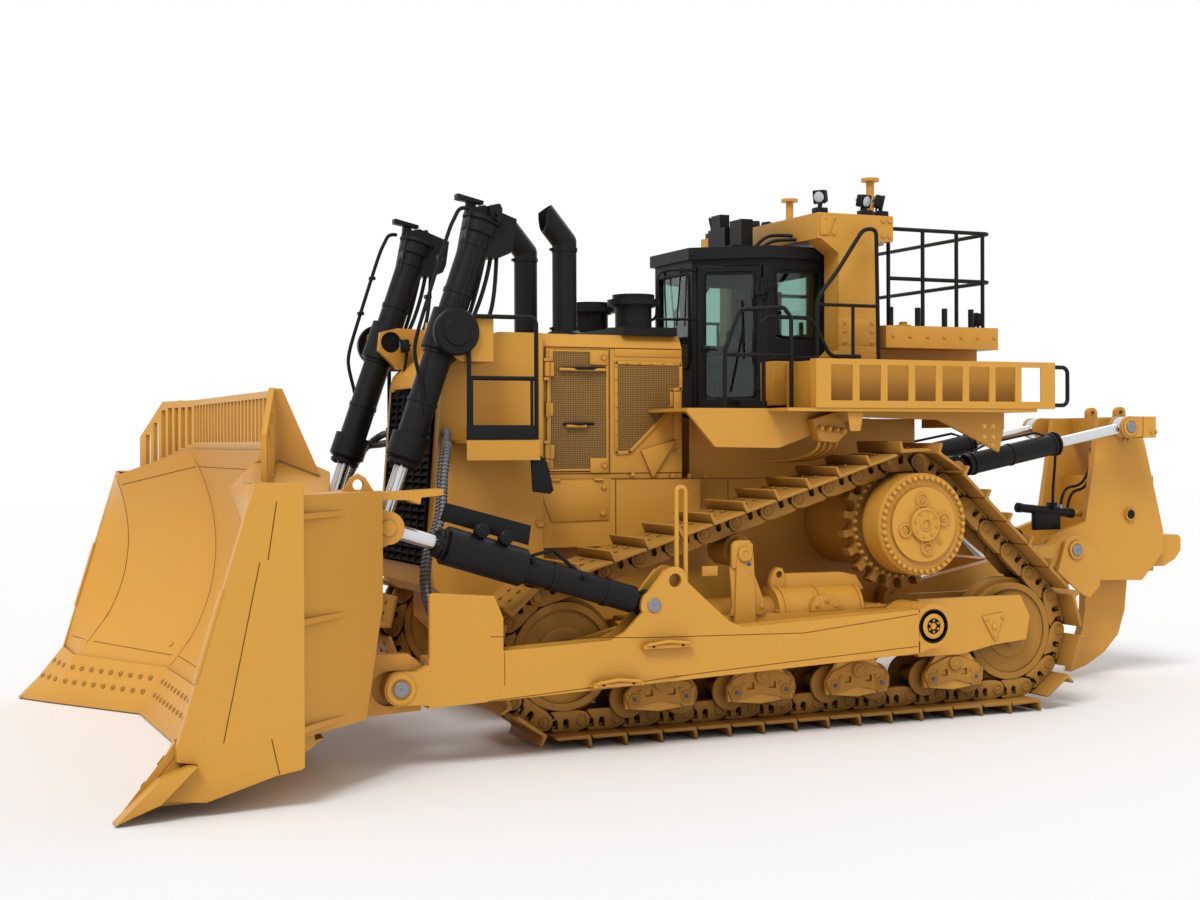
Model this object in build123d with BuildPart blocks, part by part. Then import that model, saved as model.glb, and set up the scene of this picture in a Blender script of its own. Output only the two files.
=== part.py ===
from build123d import *
import os
from math import acos, atan2, cos, degrees, hypot, pi, radians, sin

# A large track-type bulldozer with a full U-shaped blade and a single-shank ripper.
# Millimetres. +X is forward, +Y is the machine's left, +Z is up.
# The origin is on the ground, on the centre line, half-way along the machine.

os.makedirs("parts", exist_ok=True)

# ------------------------------------------------------------------ tracks
TRACK_GAUGE = 2890.0          # centre to centre of the two tracks
SHOE_WIDTH = 710.0
SHOE_COUNT = 40
SHOE_THICKNESS = 30.0
GROUSER_HEIGHT = 75.0
GROUSER_THICKNESS = 28.0
LINK_BELOW_PIN = 90.0         # from the pin line to the shoe plate
LINK_ABOVE_PIN = 85.0         # from the pin line to the rail that rollers run on
LINK_GAP = 150.0              # between the two link strands
LINK_WIDTH = 68.0
FRONT_IDLER_X = 1920.0
REAR_IDLER_X = -2535.0
IDLER_PIN_RADIUS = 530.0      # of the pin line around the idlers
SPROCKET_X = -1400.0
SPROCKET_Z = 1741.0
SPROCKET_PIN_RADIUS = 545.0
SPROCKET_TEETH = 21
SPROCKET_TIP_RADIUS = SPROCKET_PIN_RADIUS + 47.0
SPROCKET_WIDTH = 120.0
SEAT_GAP = 0.3                # between a part and the seat that carries it
MOVING_GAP = 6.0              # between parts that pass each other

ROLLER_X = (1352.0, 876.0, 398.0, -80.0, -568.0, -1040.0, -1583.0, -2046.0)
ROLLER_Z = 355.0
ROLLER_FLANGE_RADIUS = 165.0
ROLLER_FLANGE_WIDTH = 30.0
BOGIE_PLATE = 40.0
CARRIER_X = 305.0
CARRIER_RADIUS = 138.0
WHEEL_HALF_WIDTH = 150.0      # of rollers and idlers, over their treads

# ------------------------------------------------------------------ roller frames
FRAME_HALF_WIDTH = 240.0
FRAME_LOW = 570.0
FRAME_HIGH = 1000.0
FRAME_FRONT_X = 1300.0
FRAME_REAR_X = -1800.0
YOKE_INNER = 235.0            # from the track centre line to the yoke plates
YOKE_THICKNESS = 70.0
TRUNNION_X = -1287.0
TRUNNION_Z = 880.0
TRUNNION_RADIUS = 105.0

# ------------------------------------------------------------------ push arms
ARM_CLEARANCE = 175.0          # between the shoes and a push arm
ARM_WIDTH = 215.0
ARM_INNER_Y = TRACK_GAUGE / 2 + SHOE_WIDTH / 2 + ARM_CLEARANCE
ARM_OUTER_Y = ARM_INNER_Y + ARM_WIDTH
ARM_EYE_INNER_Y = ARM_OUTER_Y - 80.0      # inner face of the eye at the arm's front end
ARM_BOX_FRONT_X = 3270.0
BLADE_PIN_X = 3489.0
BLADE_PIN_Z = 627.0
BLADE_PIN_RADIUS = 62.0
ARM_EYE_RADIUS = 128.0
TILT_REAR_X = 1385.0
TILT_REAR_Z = 1171.0
TILT_FRONT_X = 3583.0
TILT_FRONT_Z = 1838.0
TILT_Y = ARM_OUTER_Y - 105.0
TILT_HEAD_RADIUS = 150.0
TILT_BARREL_RADIUS = 108.0
TILT_ROD_RADIUS = 58.0
TILT_PIN_RADIUS = 60.0
SPARE_EYE_X = 1197.0          # the empty eye above the cylinder's own
SPARE_EYE_Z = 1364.0
SPARE_EYE_BORE = 55.0
SPARE_EYE_RADIUS = 110.0
EYE_WIDTH = 2 * TILT_ROD_RADIUS + 4

# ------------------------------------------------------------------ blade
BLADE_CENTRE_Y = 1538.0       # half width of the blade's middle section
BLADE_WING_Y = 2646.0
BLADE_END_Y = 3030.0           # inner face of the end plates
BLADE_TIP_Y = 3179.0
BLADE_TIP_X = 5716.0
BLADE_BACK_X = 3850.0
END_PLATE_THICKNESS = 70.0
EDGE_BOTTOM = 8.0
EDGE_THICKNESS = 60.0
GUARD_TOP_Z = 2890.0
GUARD_THICKNESS = 40.0
TOWER_INNER_Y = ARM_INNER_Y - 145.0
TOWER_OUTER_Y = ARM_OUTER_Y + 110.0
TOWER_REAR_X = 3660.0
TOWER_TOP_Z = 2120.0

# ------------------------------------------------------------------ blade lift cylinders
LIFT_Y = 880.0
LIFT_TRUNNION_X = 2682.0
LIFT_TRUNNION_Z = 3398.0
LIFT_EYE_X = 3512.0
LIFT_EYE_Z = 1000.0
LIFT_BARREL_RADIUS = 122.0
LIFT_HEAD_RADIUS = 160.0
LIFT_ROD_RADIUS = 62.0
LIFT_TRUNNION_RADIUS = 95.0
LIFT_ABOVE = 1000.0           # barrel length above the trunnion
LIFT_BELOW = 1172.0           # barrel length below the trunnion

# ------------------------------------------------------------------ body and hood
BODY_HALF_WIDTH = 520.0
SKIRT_HALF_WIDTH = 740.0
BELLY_Z = 620.0
BODY_DECK_Z = 2690.0
HOOD_REAR_X = 385.0
HOOD_FRONT_X = 1750.0
HOOD_HALF_WIDTH = 700.0
HOOD_BOTTOM_Z = 2150.0
HOOD_TOP_Z = 3425.0
HOOD_CHAMFER = 110.0
HOOD_WALL = 40.0
NOSE_HALF_WIDTH = 750.0
STACK_X = 1428.0
STACK_Y = 469.0
STACK_RADIUS = 108.0
STACK_BEND_Z = 4250.0
STACK_ELBOW = 330.0
PRECLEANER_X = 760.0
PRECLEANER_Y = 480.0
ENGINE_DOOR_FRONT_X = 1700.0
ENGINE_DOOR_REAR_X = 1110.0
ENGINE_DOOR_LOW = 2215.0
ENGINE_DOOR_HIGH = 3290.0

# ------------------------------------------------------------------ cab and roll-over frame
CAB_FRONT_X = 120.0
CAB_FRONT_Y = 390.0
CAB_SIDE_X = -430.0
CAB_SIDE_Y = 830.0
CAB_REAR_X = -1040.0
CAB_FLOOR_Z = 2712.0
CAB_WALL = 55.0
CAB_ROOF_Z = 4150.0
CAB_ROOF_THICKNESS = 110.0
CAB_ROOF_OVERHANG = 45.0
ROPS_Y = 1150.0
ROPS_COLUMN_WIDTH = 250.0
ROPS_COLUMN_FRONT_X = -985.0
ROPS_COLUMN_REAR_X = -1390.0
ROPS_BEAM_FRONT_X = -770.0
ROPS_BEAM_REAR_X = -1571.0
ROPS_BEAM_LOW = 4311.0
ROPS_BEAM_HIGH = 4545.0
MAST_X = -1582.0
MAST_RADIUS = 38.0
MAST_CAP_RADIUS = 85.0
MAST_Y = 749.0
MAST_TOP_Z = 4950.0

# ------------------------------------------------------------------ decks, tanks and rails
DECK_Z = 2765.0
DECK_THICKNESS = 30.0
GUARD_Y = 1800.0              # outer face of the walkway guards
WALK_GUARD_FRONT_X = -353.0
WALK_GUARD_REAR_X = -2895.0
WALK_GUARD_LOW = 2779.0
WALK_GUARD_HIGH = 3190.0
TANK_LOW = DECK_Z
TANK_HIGH = 3340.0
REAR_DECK_FRONT_X = -1525.0
REAR_DECK_REAR_X = -2785.0
REAR_DECK_LOW = 3353.0
REAR_DECK_HIGH = 3547.0
REAR_DECK_HALF_WIDTH = 1100.0
RAIL_RADIUS = 19.0
RAIL_BEND = 60.0
RAIL_HEIGHT = 900.0

# ------------------------------------------------------------------ ripper
LINK_FRONT_X = -1888.0        # front pins of the ripper's lower arms
LINK_FRONT_Z = 981.0
ARM_REAR_X = -3988.0          # rear pins of the lower arms, on the ripper frame
ARM_REAR_Z = 1381.0
TOP_REAR_X = -4640.0          # pins of the two upper cylinders on the ripper frame
TOP_REAR_Z = 2610.0
RIPPER_ARM_INNER_Y = 585.0
RIPPER_ARM_THICKNESS = 120.0
RIPPER_PIN_RADIUS = 75.0
RIPPER_EYE_RADIUS = 135.0
RIPPER_TOP_Y = 700.0          # of the upper cylinders
RIPPER_LIFT_Y = 470.0         # of the lift cylinders
RIPPER_LIFT_EYE_X = -3980.0
RIPPER_LIFT_EYE_Z = 1080.0
RIPPER_BARREL_RADIUS = 88.0
RIPPER_ROD_RADIUS = 50.0
RIPPER_FRAME_INNER_Y = 330.0
RIPPER_FRAME_OUTER_Y = 400.0
SHANK_THICKNESS = 100.0
SHANK_FRONT_X = -4810.0
SHANK_REAR_X = -5240.0
SHANK_PIN_X = -4963.0
SHANK_PIN_Z = 1701.0

half_gauge = TRACK_GAUGE / 2
pin_height = GROUSER_HEIGHT + SHOE_THICKNESS + LINK_BELOW_PIN
idler_z = pin_height + IDLER_PIN_RADIUS
tread_offset = -LINK_ABOVE_PIN - SEAT_GAP
sides = (1, -1)
TOP_FRONT_X = TOP_REAR_X + LINK_FRONT_X - ARM_REAR_X
TOP_FRONT_Z = TOP_REAR_Z + LINK_FRONT_Z - ARM_REAR_Z


# ------------------------------------------------------------------ helpers
def save(builder, name):
    """Label the finished piece and write it as its own file."""
    builder.part.label = name
    export_step(builder.part, f"parts/{name}.step")


def side_prism(points, y_low, y_high, mode=Mode.ADD):
    """A plate drawn in side view from (x, z) points, between two distances from the centre line."""
    with BuildSketch(Plane.XZ.offset(-y_high)) as outline:
        with BuildLine():
            Polyline(*points, close=True)
        make_face()
    extrude(outline.sketch, amount=y_high - y_low, mode=mode)


def plan_prism(points, z_low, z_high, mode=Mode.ADD):
    """A slab drawn in plan from (x, y) points, between two heights."""
    with BuildSketch(Plane.XY.offset(z_low)) as outline:
        with BuildLine():
            Polyline(*points, close=True)
        make_face()
    extrude(outline.sketch, amount=z_high - z_low, mode=mode)


def block(x_range, y_range, z_range, mode=Mode.ADD):
    """A box between two limits along each axis."""
    centre = [(low + high) / 2 for low, high in (x_range, y_range, z_range)]
    with Locations(Location(tuple(centre))):
        Box(*[abs(high - low) for low, high in (x_range, y_range, z_range)], mode=mode)


def cross_pin(x, z, radius, y_low, y_high, mode=Mode.ADD):
    """A cylinder across the machine."""
    with Locations(Location((x, (y_low + y_high) / 2, z), (90, 0, 0))):
        Cylinder(radius, y_high - y_low, mode=mode)


def rod(start, end, radius, mode=Mode.ADD):
    """A cylinder from one point to another."""
    a, b = Vector(*start), Vector(*end)
    with Locations(Plane(origin=(a + b) / 2, z_dir=b - a)):
        Cylinder(radius, (b - a).length, mode=mode)


def rail(points, radius):
    """A tube bent from one length: straight runs with round corners."""
    if len(points) == 2:
        rod(*points, radius)
        return
    shortest = min((Vector(*b) - Vector(*a)).length for a, b in zip(points, points[1:]))
    with BuildLine() as path:
        FilletPolyline(*points, radius=min(RAIL_BEND, 0.45 * shortest))
    with BuildSketch(Plane(origin=path.line @ 0, z_dir=path.line % 0)) as ring:
        Circle(radius)
    sweep(ring.sketch, path=path.line)


def along(start, end, distance):
    """The point at a distance from start on the way to end, in side view."""
    length = hypot(end[0] - start[0], end[1] - start[1])
    return tuple(s + (e - s) * distance / length for s, e in zip(start, end))


# ------------------------------------------------------------------ track loops
# Wheels that the loop passes, in running order: centre x, centre z, radius of the pin line.
loop_wheels = (
    (FRONT_IDLER_X, idler_z, IDLER_PIN_RADIUS),
    (SPROCKET_X, SPROCKET_Z, SPROCKET_PIN_RADIUS),
    (REAR_IDLER_X, idler_z, IDLER_PIN_RADIUS),
)


def leaving_angle(wheel, following):
    """Direction of the loop's outward normal on the run from one wheel to the next."""
    dx, dz = following[0] - wheel[0], following[1] - wheel[1]
    return atan2(dz, dx) - acos((wheel[2] - following[2]) / hypot(dx, dz))


run_angles = [leaving_angle(w, loop_wheels[(i + 1) % 3]) for i, w in enumerate(loop_wheels)]


def on_wheel(wheel, angle, offset):
    """A point at an offset outside the pin line where the loop lies on a wheel."""
    radius = wheel[2] + offset
    return (wheel[0] + radius * cos(angle), wheel[1] + radius * sin(angle))


def arc_span(index):
    """Angles at which the loop meets and leaves a wheel."""
    start, end = run_angles[index - 1], run_angles[index]
    while end < start:
        end += 2 * pi
    return start, end


def loop_outline(offset):
    """Draw the closed loop at an offset outside the pin line, in the current sketch line."""
    for i, wheel in enumerate(loop_wheels):
        start, end = arc_span(i)
        following = loop_wheels[(i + 1) % 3]
        ThreePointArc(
            on_wheel(wheel, start, offset),
            on_wheel(wheel, (start + end) / 2, offset),
            on_wheel(wheel, end, offset),
        )
        Line(on_wheel(wheel, end, offset), on_wheel(following, run_angles[i], offset))


def loop_stations(count):
    """Evenly spaced points on the pin line, each with the direction of its outward normal."""
    pieces = []
    for i, wheel in enumerate(loop_wheels):
        start, end = arc_span(i)
        pieces.append(("arc", wheel, start, end, wheel[2] * (end - start)))
        a = on_wheel(wheel, end, 0)
        b = on_wheel(loop_wheels[(i + 1) % 3], run_angles[i], 0)
        pieces.append(("run", a, b, end, hypot(b[0] - a[0], b[1] - a[1])))
    total = sum(piece[-1] for piece in pieces)
    stations = []
    for n in range(count):
        left = total * (n + 0.5) / count
        for kind, first, second, angle, length in pieces:
            if left <= length:
                break
            left -= length
        if kind == "arc":
            turn = second + (angle - second) * left / length
            stations.append((*on_wheel(first, turn, 0), turn))
        else:
            stations.append((*along(first, second, left), angle))
    return stations


plate_outside = LINK_BELOW_PIN + SHOE_THICKNESS
for side, name in ((1, "track_left"), (-1, "track_right")):
    centre_y = side * half_gauge
    with BuildPart() as track:
        with BuildSketch(Plane.XZ.offset(-centre_y)) as shoes:
            with BuildLine():
                loop_outline(plate_outside)
            make_face()
            with BuildLine():
                loop_outline(LINK_BELOW_PIN)
            make_face(mode=Mode.SUBTRACT)
            for x, z, turn in loop_stations(SHOE_COUNT):
                middle = plate_outside + GROUSER_HEIGHT / 2 - 2
                spot = Location((x + middle * cos(turn), z + middle * sin(turn)), degrees(turn))
                with Locations(spot):
                    Rectangle(GROUSER_HEIGHT + 4, GROUSER_THICKNESS)
        extrude(shoes.sketch, amount=SHOE_WIDTH / 2, both=True)
        for strand in (1, -1):
            middle_y = centre_y + strand * (LINK_GAP + LINK_WIDTH) / 2
            with BuildSketch(Plane.XZ.offset(-middle_y)) as links:
                with BuildLine():
                    loop_outline(LINK_BELOW_PIN)
                make_face()
                with BuildLine():
                    loop_outline(-LINK_ABOVE_PIN)
                make_face(mode=Mode.SUBTRACT)
            extrude(links.sketch, amount=LINK_WIDTH / 2, both=True)
    save(track, name)

# ------------------------------------------------------------------ idlers, rollers, sprockets
idler_tread = IDLER_PIN_RADIUS + tread_offset
guide_half_width = LINK_GAP / 2 - MOVING_GAP
with BuildPart() as idlers:
    for side in sides:
        y = side * half_gauge
        for x in (FRONT_IDLER_X, REAR_IDLER_X):
            cross_pin(x, idler_z, idler_tread, y - WHEEL_HALF_WIDTH, y + WHEEL_HALF_WIDTH)
            cross_pin(x, idler_z, idler_tread + 45, y - guide_half_width, y + guide_half_width)
            for face in sides:
                outer, inner = y + face * WHEEL_HALF_WIDTH, y + face * (WHEEL_HALF_WIDTH - 80)
                with Locations(Location((x, (outer + inner) / 2, idler_z), (90, 0, 0))):
                    Cylinder(idler_tread - 60, 80, mode=Mode.SUBTRACT)
            cross_pin(x, idler_z, 130, y - YOKE_INNER + SEAT_GAP, y + YOKE_INNER - SEAT_GAP)
save(idlers, "idlers")

roller_tread = ROLLER_Z - (pin_height + LINK_ABOVE_PIN) - SEAT_GAP
flange_inner = LINK_GAP / 2 + LINK_WIDTH + 4
with BuildPart() as rollers:
    for side in sides:
        y = side * half_gauge
        for x in ROLLER_X:
            cross_pin(x, ROLLER_Z, roller_tread, y - WHEEL_HALF_WIDTH, y + WHEEL_HALF_WIDTH)
            for face in sides:
                low, high = sorted(y + face * d for d in (flange_inner, flange_inner + ROLLER_FLANGE_WIDTH))
                cross_pin(x, ROLLER_Z, ROLLER_FLANGE_RADIUS, low, high)
            cross_pin(x, ROLLER_Z, 45, y - YOKE_INNER + SEAT_GAP, y + YOKE_INNER - SEAT_GAP)
save(rollers, "track_rollers")

upper_start = on_wheel(loop_wheels[0], run_angles[0], -LINK_ABOVE_PIN)
upper_end = on_wheel(loop_wheels[1], run_angles[0], -LINK_ABOVE_PIN)
rail_share = (CARRIER_X - upper_start[0]) / (upper_end[0] - upper_start[0])
rail_z = upper_start[1] + rail_share * (upper_end[1] - upper_start[1])
carrier_z = rail_z - (CARRIER_RADIUS + SEAT_GAP) / sin(run_angles[0])
with BuildPart() as carriers:
    for side in sides:
        y = side * half_gauge
        cross_pin(CARRIER_X, carrier_z, CARRIER_RADIUS, y - WHEEL_HALF_WIDTH, y + WHEEL_HALF_WIDTH)
        cross_pin(CARRIER_X, carrier_z, 50, *sorted((y, y + side * (YOKE_INNER - SEAT_GAP))))
save(carriers, "carrier_rollers")

housing_radius = SPROCKET_PIN_RADIUS - LINK_ABOVE_PIN - 50
with BuildPart() as final_drives:
    for side in sides:
        for radius, near, far in (
            (housing_radius, BODY_HALF_WIDTH, half_gauge + 150),
            (SPROCKET_PIN_RADIUS - 95, half_gauge + 150, half_gauge + 405),
            (housing_radius - 80, half_gauge + 405, half_gauge + 435),
            (150, half_gauge + 435, half_gauge + 460),
        ):
            cross_pin(SPROCKET_X, SPROCKET_Z, radius, *sorted((side * near, side * far)))
save(final_drives, "final_drives")

with BuildPart() as sprockets:
    for side in sides:
        low, high = side * half_gauge - SPROCKET_WIDTH / 2, side * half_gauge + SPROCKET_WIDTH / 2
        cross_pin(SPROCKET_X, SPROCKET_Z, SPROCKET_TIP_RADIUS, low, high)
        for n in range(SPROCKET_TEETH):
            turn = 2 * pi * n / SPROCKET_TEETH
            x = SPROCKET_X + SPROCKET_PIN_RADIUS * cos(turn)
            z = SPROCKET_Z + SPROCKET_PIN_RADIUS * sin(turn)
            cross_pin(x, z, 52, low, high, mode=Mode.SUBTRACT)
            mouth = [
                (SPROCKET_X + r * cos(turn + a), SPROCKET_Z + r * sin(turn + a))
                for r, a in ((SPROCKET_PIN_RADIUS, -0.09), (SPROCKET_PIN_RADIUS, 0.09), (SPROCKET_TIP_RADIUS + 48, 0.1), (SPROCKET_TIP_RADIUS + 48, -0.1))
            ]
            side_prism(mouth, low, high, mode=Mode.SUBTRACT)
        cross_pin(SPROCKET_X, SPROCKET_Z, housing_radius + SEAT_GAP, low, high, mode=Mode.SUBTRACT)
save(sprockets, "sprockets")

# ------------------------------------------------------------------ roller frames
rear_yoke = [
    (-1425, 1067), (REAR_IDLER_X, 1067), (REAR_IDLER_X - 105, 880), (REAR_IDLER_X - 65, 660),
    (REAR_IDLER_X + 286, 629), (-1880, 560), (-1425, 560),
]
front_yoke = [
    (1000, 980), (1500, 960), (FRONT_IDLER_X + 40, 850), (FRONT_IDLER_X + 90, 725),
    (FRONT_IDLER_X + 40, 610), (1500, 560), (1000, 560),
]
plates = (YOKE_INNER, YOKE_INNER + YOKE_THICKNESS)
bogie_centres = [(a + b) / 2 for a, b in zip(ROLLER_X[::2], ROLLER_X[1::2])]
for side, name in ((1, "track_frame_left"), (-1, "track_frame_right")):
    y = side * half_gauge
    with BuildPart() as roller_frame:
        block((FRAME_REAR_X, FRAME_FRONT_X), (y - FRAME_HALF_WIDTH, y + FRAME_HALF_WIDTH), (FRAME_LOW, FRAME_HIGH))
        rod((FRAME_FRONT_X, y, 780), (FRAME_FRONT_X + 100, y, 780), 200)
        rod((-900, y, FRAME_HIGH), (-70, y, FRAME_HIGH), 215)
        rod((-70, y, FRAME_HIGH), (1000, y, FRAME_HIGH), 130)
        for face in sides:
            low, high = sorted(y + face * d for d in plates)
            side_prism(rear_yoke, low, high)
            side_prism(front_yoke, low, high)
            low, high = sorted(y + face * d for d in (YOKE_INNER, YOKE_INNER + BOGIE_PLATE))
            for centre, first, second in zip(bogie_centres, ROLLER_X[::2], ROLLER_X[1::2]):
                side_prism(
                    [
                        (first + 75, ROLLER_Z + 40), (centre + 130, FRAME_LOW + 60), (centre - 130, FRAME_LOW + 60),
                        (second - 75, ROLLER_Z + 40), (second - 75, ROLLER_Z - 75), (centre, ROLLER_Z - 110),
                        (first + 75, ROLLER_Z - 75),
                    ],
                    low,
                    high,
                )
        # Carrier roller bracket, on the outer side.
        low, high = sorted(y + side * d for d in (YOKE_INNER, YOKE_INNER + 50))
        side_prism(
            [(CARRIER_X + 110, 700), (CARRIER_X + 80, carrier_z - 30), (CARRIER_X + 50, carrier_z + 60),
             (CARRIER_X - 50, carrier_z + 60), (CARRIER_X - 80, carrier_z - 30), (CARRIER_X - 110, 700)],
            low,
            high,
        )
        # Trunnion that the push arm turns on.
        cross_pin(TRUNNION_X, TRUNNION_Z, TRUNNION_RADIUS, *sorted((y + side * YOKE_INNER, side * (ARM_OUTER_Y - 20))))
        cross_pin(TRUNNION_X, TRUNNION_Z, 190, *sorted((y + side * YOKE_INNER, side * (ARM_INNER_Y - MOVING_GAP))))
    save(roller_frame, name)

with BuildPart() as equalizer:
    frame_inner = half_gauge - FRAME_HALF_WIDTH
    for side in sides:
        cross_pin(TRUNNION_X, TRUNNION_Z - 30, 120, *sorted((side * BODY_HALF_WIDTH, side * (frame_inner - SEAT_GAP))))
        side_prism(
            [(1120, 900), (1240, 900), (1240, 700), (1120, 700)],
            *sorted((side * BODY_HALF_WIDTH, side * (half_gauge - YOKE_INNER - YOKE_THICKNESS - SEAT_GAP))),
        )
save(equalizer, "equalizer_and_pivot")

# ------------------------------------------------------------------ main frame
with BuildPart() as main_frame:
    side_prism(
        [(-2230, 1300), (-2230, BODY_DECK_Z), (220, BODY_DECK_Z), (220, HOOD_BOTTOM_Z),
         (HOOD_FRONT_X, HOOD_BOTTOM_Z), (HOOD_FRONT_X, 1150), (2520, 1150), (2520, 900), (2220, BELLY_Z),
         (-1780, BELLY_Z), (-2080, 900)],
        -BODY_HALF_WIDTH,
        BODY_HALF_WIDTH,
    )
    for side in sides:
        low, high = sorted((side * (BODY_HALF_WIDTH - 5), side * SKIRT_HALF_WIDTH))
        side_prism([(220, 1560), (220, HOOD_BOTTOM_Z), (HOOD_FRONT_X, HOOD_BOTTOM_Z), (HOOD_FRONT_X, 1560)], low, high)
    # Rear lugs and cross tubes for the ripper.
    for z, x, reach in (
        (TOP_FRONT_Z, TOP_FRONT_X, RIPPER_TOP_Y + 90),
        (LINK_FRONT_Z, LINK_FRONT_X, RIPPER_ARM_INNER_Y + RIPPER_ARM_THICKNESS + 20),
    ):
        cross_pin(x, z, RIPPER_PIN_RADIUS, -reach, reach)
    for y in (-585, -355, 355, 585):
        side_prism(
            [(-2232 + 10, TOP_FRONT_Z + 180), (TOP_FRONT_X, TOP_FRONT_Z + 120), (TOP_FRONT_X - 130, TOP_FRONT_Z),
             (TOP_FRONT_X, TOP_FRONT_Z - 120), (-2232 + 10, TOP_FRONT_Z - 300)],
            y - 25,
            y + 25,
        )
    block((-2230, -2100), (-680, 680), (TOP_FRONT_Z - 300, TOP_FRONT_Z + 180))
save(main_frame, "main_frame")

# ------------------------------------------------------------------ nose, hood and engine
nose_side = [
    (HOOD_FRONT_X, HOOD_TOP_Z - 5), (2154, 3423), (2420, 3300), (2640, 3080), (2665, 2990), (2781, 1489),
    (2740, 1250), (2620, 1150), (HOOD_FRONT_X, 1150),
]
GRILLE_LOW = 1420.0
GRILLE_HIGH = 2960.0
GRILLE_HALF_WIDTH = 620.0
grille_recess = [(2400, GRILLE_LOW), (2400, GRILLE_HIGH), (2900, GRILLE_HIGH), (2900, GRILLE_LOW)]
with BuildPart() as nose:
    side_prism(nose_side, -NOSE_HALF_WIDTH, NOSE_HALF_WIDTH)
    side_prism(grille_recess, -GRILLE_HALF_WIDTH, GRILLE_HALF_WIDTH, mode=Mode.SUBTRACT)
    # Forks that carry the lift cylinders' trunnions.
    fork = [
        (LIFT_TRUNNION_X - 350, LIFT_TRUNNION_Z - 250), (LIFT_TRUNNION_X - 350, LIFT_TRUNNION_Z + 120),
        (LIFT_TRUNNION_X - 60, LIFT_TRUNNION_Z + 130), (LIFT_TRUNNION_X + 100, LIFT_TRUNNION_Z + 90),
        (LIFT_TRUNNION_X + 120, LIFT_TRUNNION_Z - 80), (LIFT_TRUNNION_X - 60, LIFT_TRUNNION_Z - 250),
    ]
    fork_low = LIFT_Y - LIFT_HEAD_RADIUS - MOVING_GAP
    fork_high = LIFT_Y + LIFT_HEAD_RADIUS + MOVING_GAP
    for side in sides:
        for near, far in ((fork_low - 60, fork_low), (fork_high, fork_high + 45)):
            side_prism(fork, *sorted((side * near, side * far)))
        block(
            (LIFT_TRUNNION_X - 350, LIFT_TRUNNION_X - 245), sorted((side * (fork_low - 60), side * (fork_high + 45))),
            (LIFT_TRUNNION_Z - 250, LIFT_TRUNNION_Z + 120),
        )
        cross_pin(
            LIFT_TRUNNION_X, LIFT_TRUNNION_Z, LIFT_TRUNNION_RADIUS + SEAT_GAP,
            *sorted((side * (fork_low - 70), side * (fork_high + 70))), mode=Mode.SUBTRACT,
        )
save(nose, "radiator_guard")

with BuildPart() as grille:
    side_prism(
        [(2400, GRILLE_LOW), (2400, GRILLE_HIGH), (2560, GRILLE_HIGH), (2660, GRILLE_LOW)],
        -GRILLE_HALF_WIDTH,
        GRILLE_HALF_WIDTH,
    )
save(grille, "radiator_grille")

hood_outline = [
    (-HOOD_HALF_WIDTH, HOOD_BOTTOM_Z), (HOOD_HALF_WIDTH, HOOD_BOTTOM_Z),
    (HOOD_HALF_WIDTH, HOOD_TOP_Z - HOOD_CHAMFER), (HOOD_HALF_WIDTH - HOOD_CHAMFER * 0.6, HOOD_TOP_Z),
    (-HOOD_HALF_WIDTH + HOOD_CHAMFER * 0.6, HOOD_TOP_Z), (-HOOD_HALF_WIDTH, HOOD_TOP_Z - HOOD_CHAMFER),
]
DOOR_GAP = 8.0
CAB_HINGE_GAP = 18.0          # at the cab doors' hinge edges, so that the leaf's inner corner swings clear
HINGE_PIN_RADIUS = 12.0
HINGE_KNUCKLE_RADIUS = 26.0
engine_hinge_y = HOOD_HALF_WIDTH + HINGE_KNUCKLE_RADIUS + 4
engine_hinge_x = ENGINE_DOOR_FRONT_X + 6
ENGINE_KNUCKLES = (ENGINE_DOOR_LOW + 180, ENGINE_DOOR_HIGH - 180)
with BuildPart() as hood:
    with BuildSketch(Plane.YZ.offset(HOOD_REAR_X)) as section:
        with BuildLine():
            Polyline(*hood_outline, close=True)
        make_face()
    extrude(section.sketch, amount=HOOD_FRONT_X - HOOD_REAR_X)
    with BuildSketch(Plane.YZ.offset(HOOD_REAR_X + HOOD_WALL)) as hollow:
        with BuildLine():
            Polyline(*hood_outline, close=True)
        make_face()
        offset(amount=-HOOD_WALL, mode=Mode.REPLACE)
    extrude(hollow.sketch, amount=HOOD_FRONT_X - HOOD_REAR_X - 2 * HOOD_WALL, mode=Mode.SUBTRACT)
    inner = HOOD_HALF_WIDTH - HOOD_WALL
    block((HOOD_REAR_X + 40, HOOD_FRONT_X - 40), (-inner, inner), (HOOD_BOTTOM_Z - 1, HOOD_BOTTOM_Z + 41), mode=Mode.SUBTRACT)
    block(
        (ENGINE_DOOR_REAR_X, ENGINE_DOOR_FRONT_X),
        (-HOOD_HALF_WIDTH - 1, HOOD_HALF_WIDTH + 1),
        (ENGINE_DOOR_LOW, ENGINE_DOOR_HIGH),
        mode=Mode.SUBTRACT,
    )
    for side in sides:
        for z in ENGINE_KNUCKLES:
            pin_y = side * engine_hinge_y
            with Locations(Location((engine_hinge_x, pin_y, z))):
                Cylinder(HINGE_PIN_RADIUS, 190)
            for ear_z in (z - 82, z + 82):
                ear = (ear_z - 13, ear_z + 13)
                block((engine_hinge_x - 16, engine_hinge_x + 34), (side * (HOOD_HALF_WIDTH + 2), side * (engine_hinge_y + 16)), ear)
                block((ENGINE_DOOR_FRONT_X, engine_hinge_x + 34), (side * (HOOD_HALF_WIDTH - 20), side * (HOOD_HALF_WIDTH + 2)), ear)
save(hood, "hood")

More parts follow.
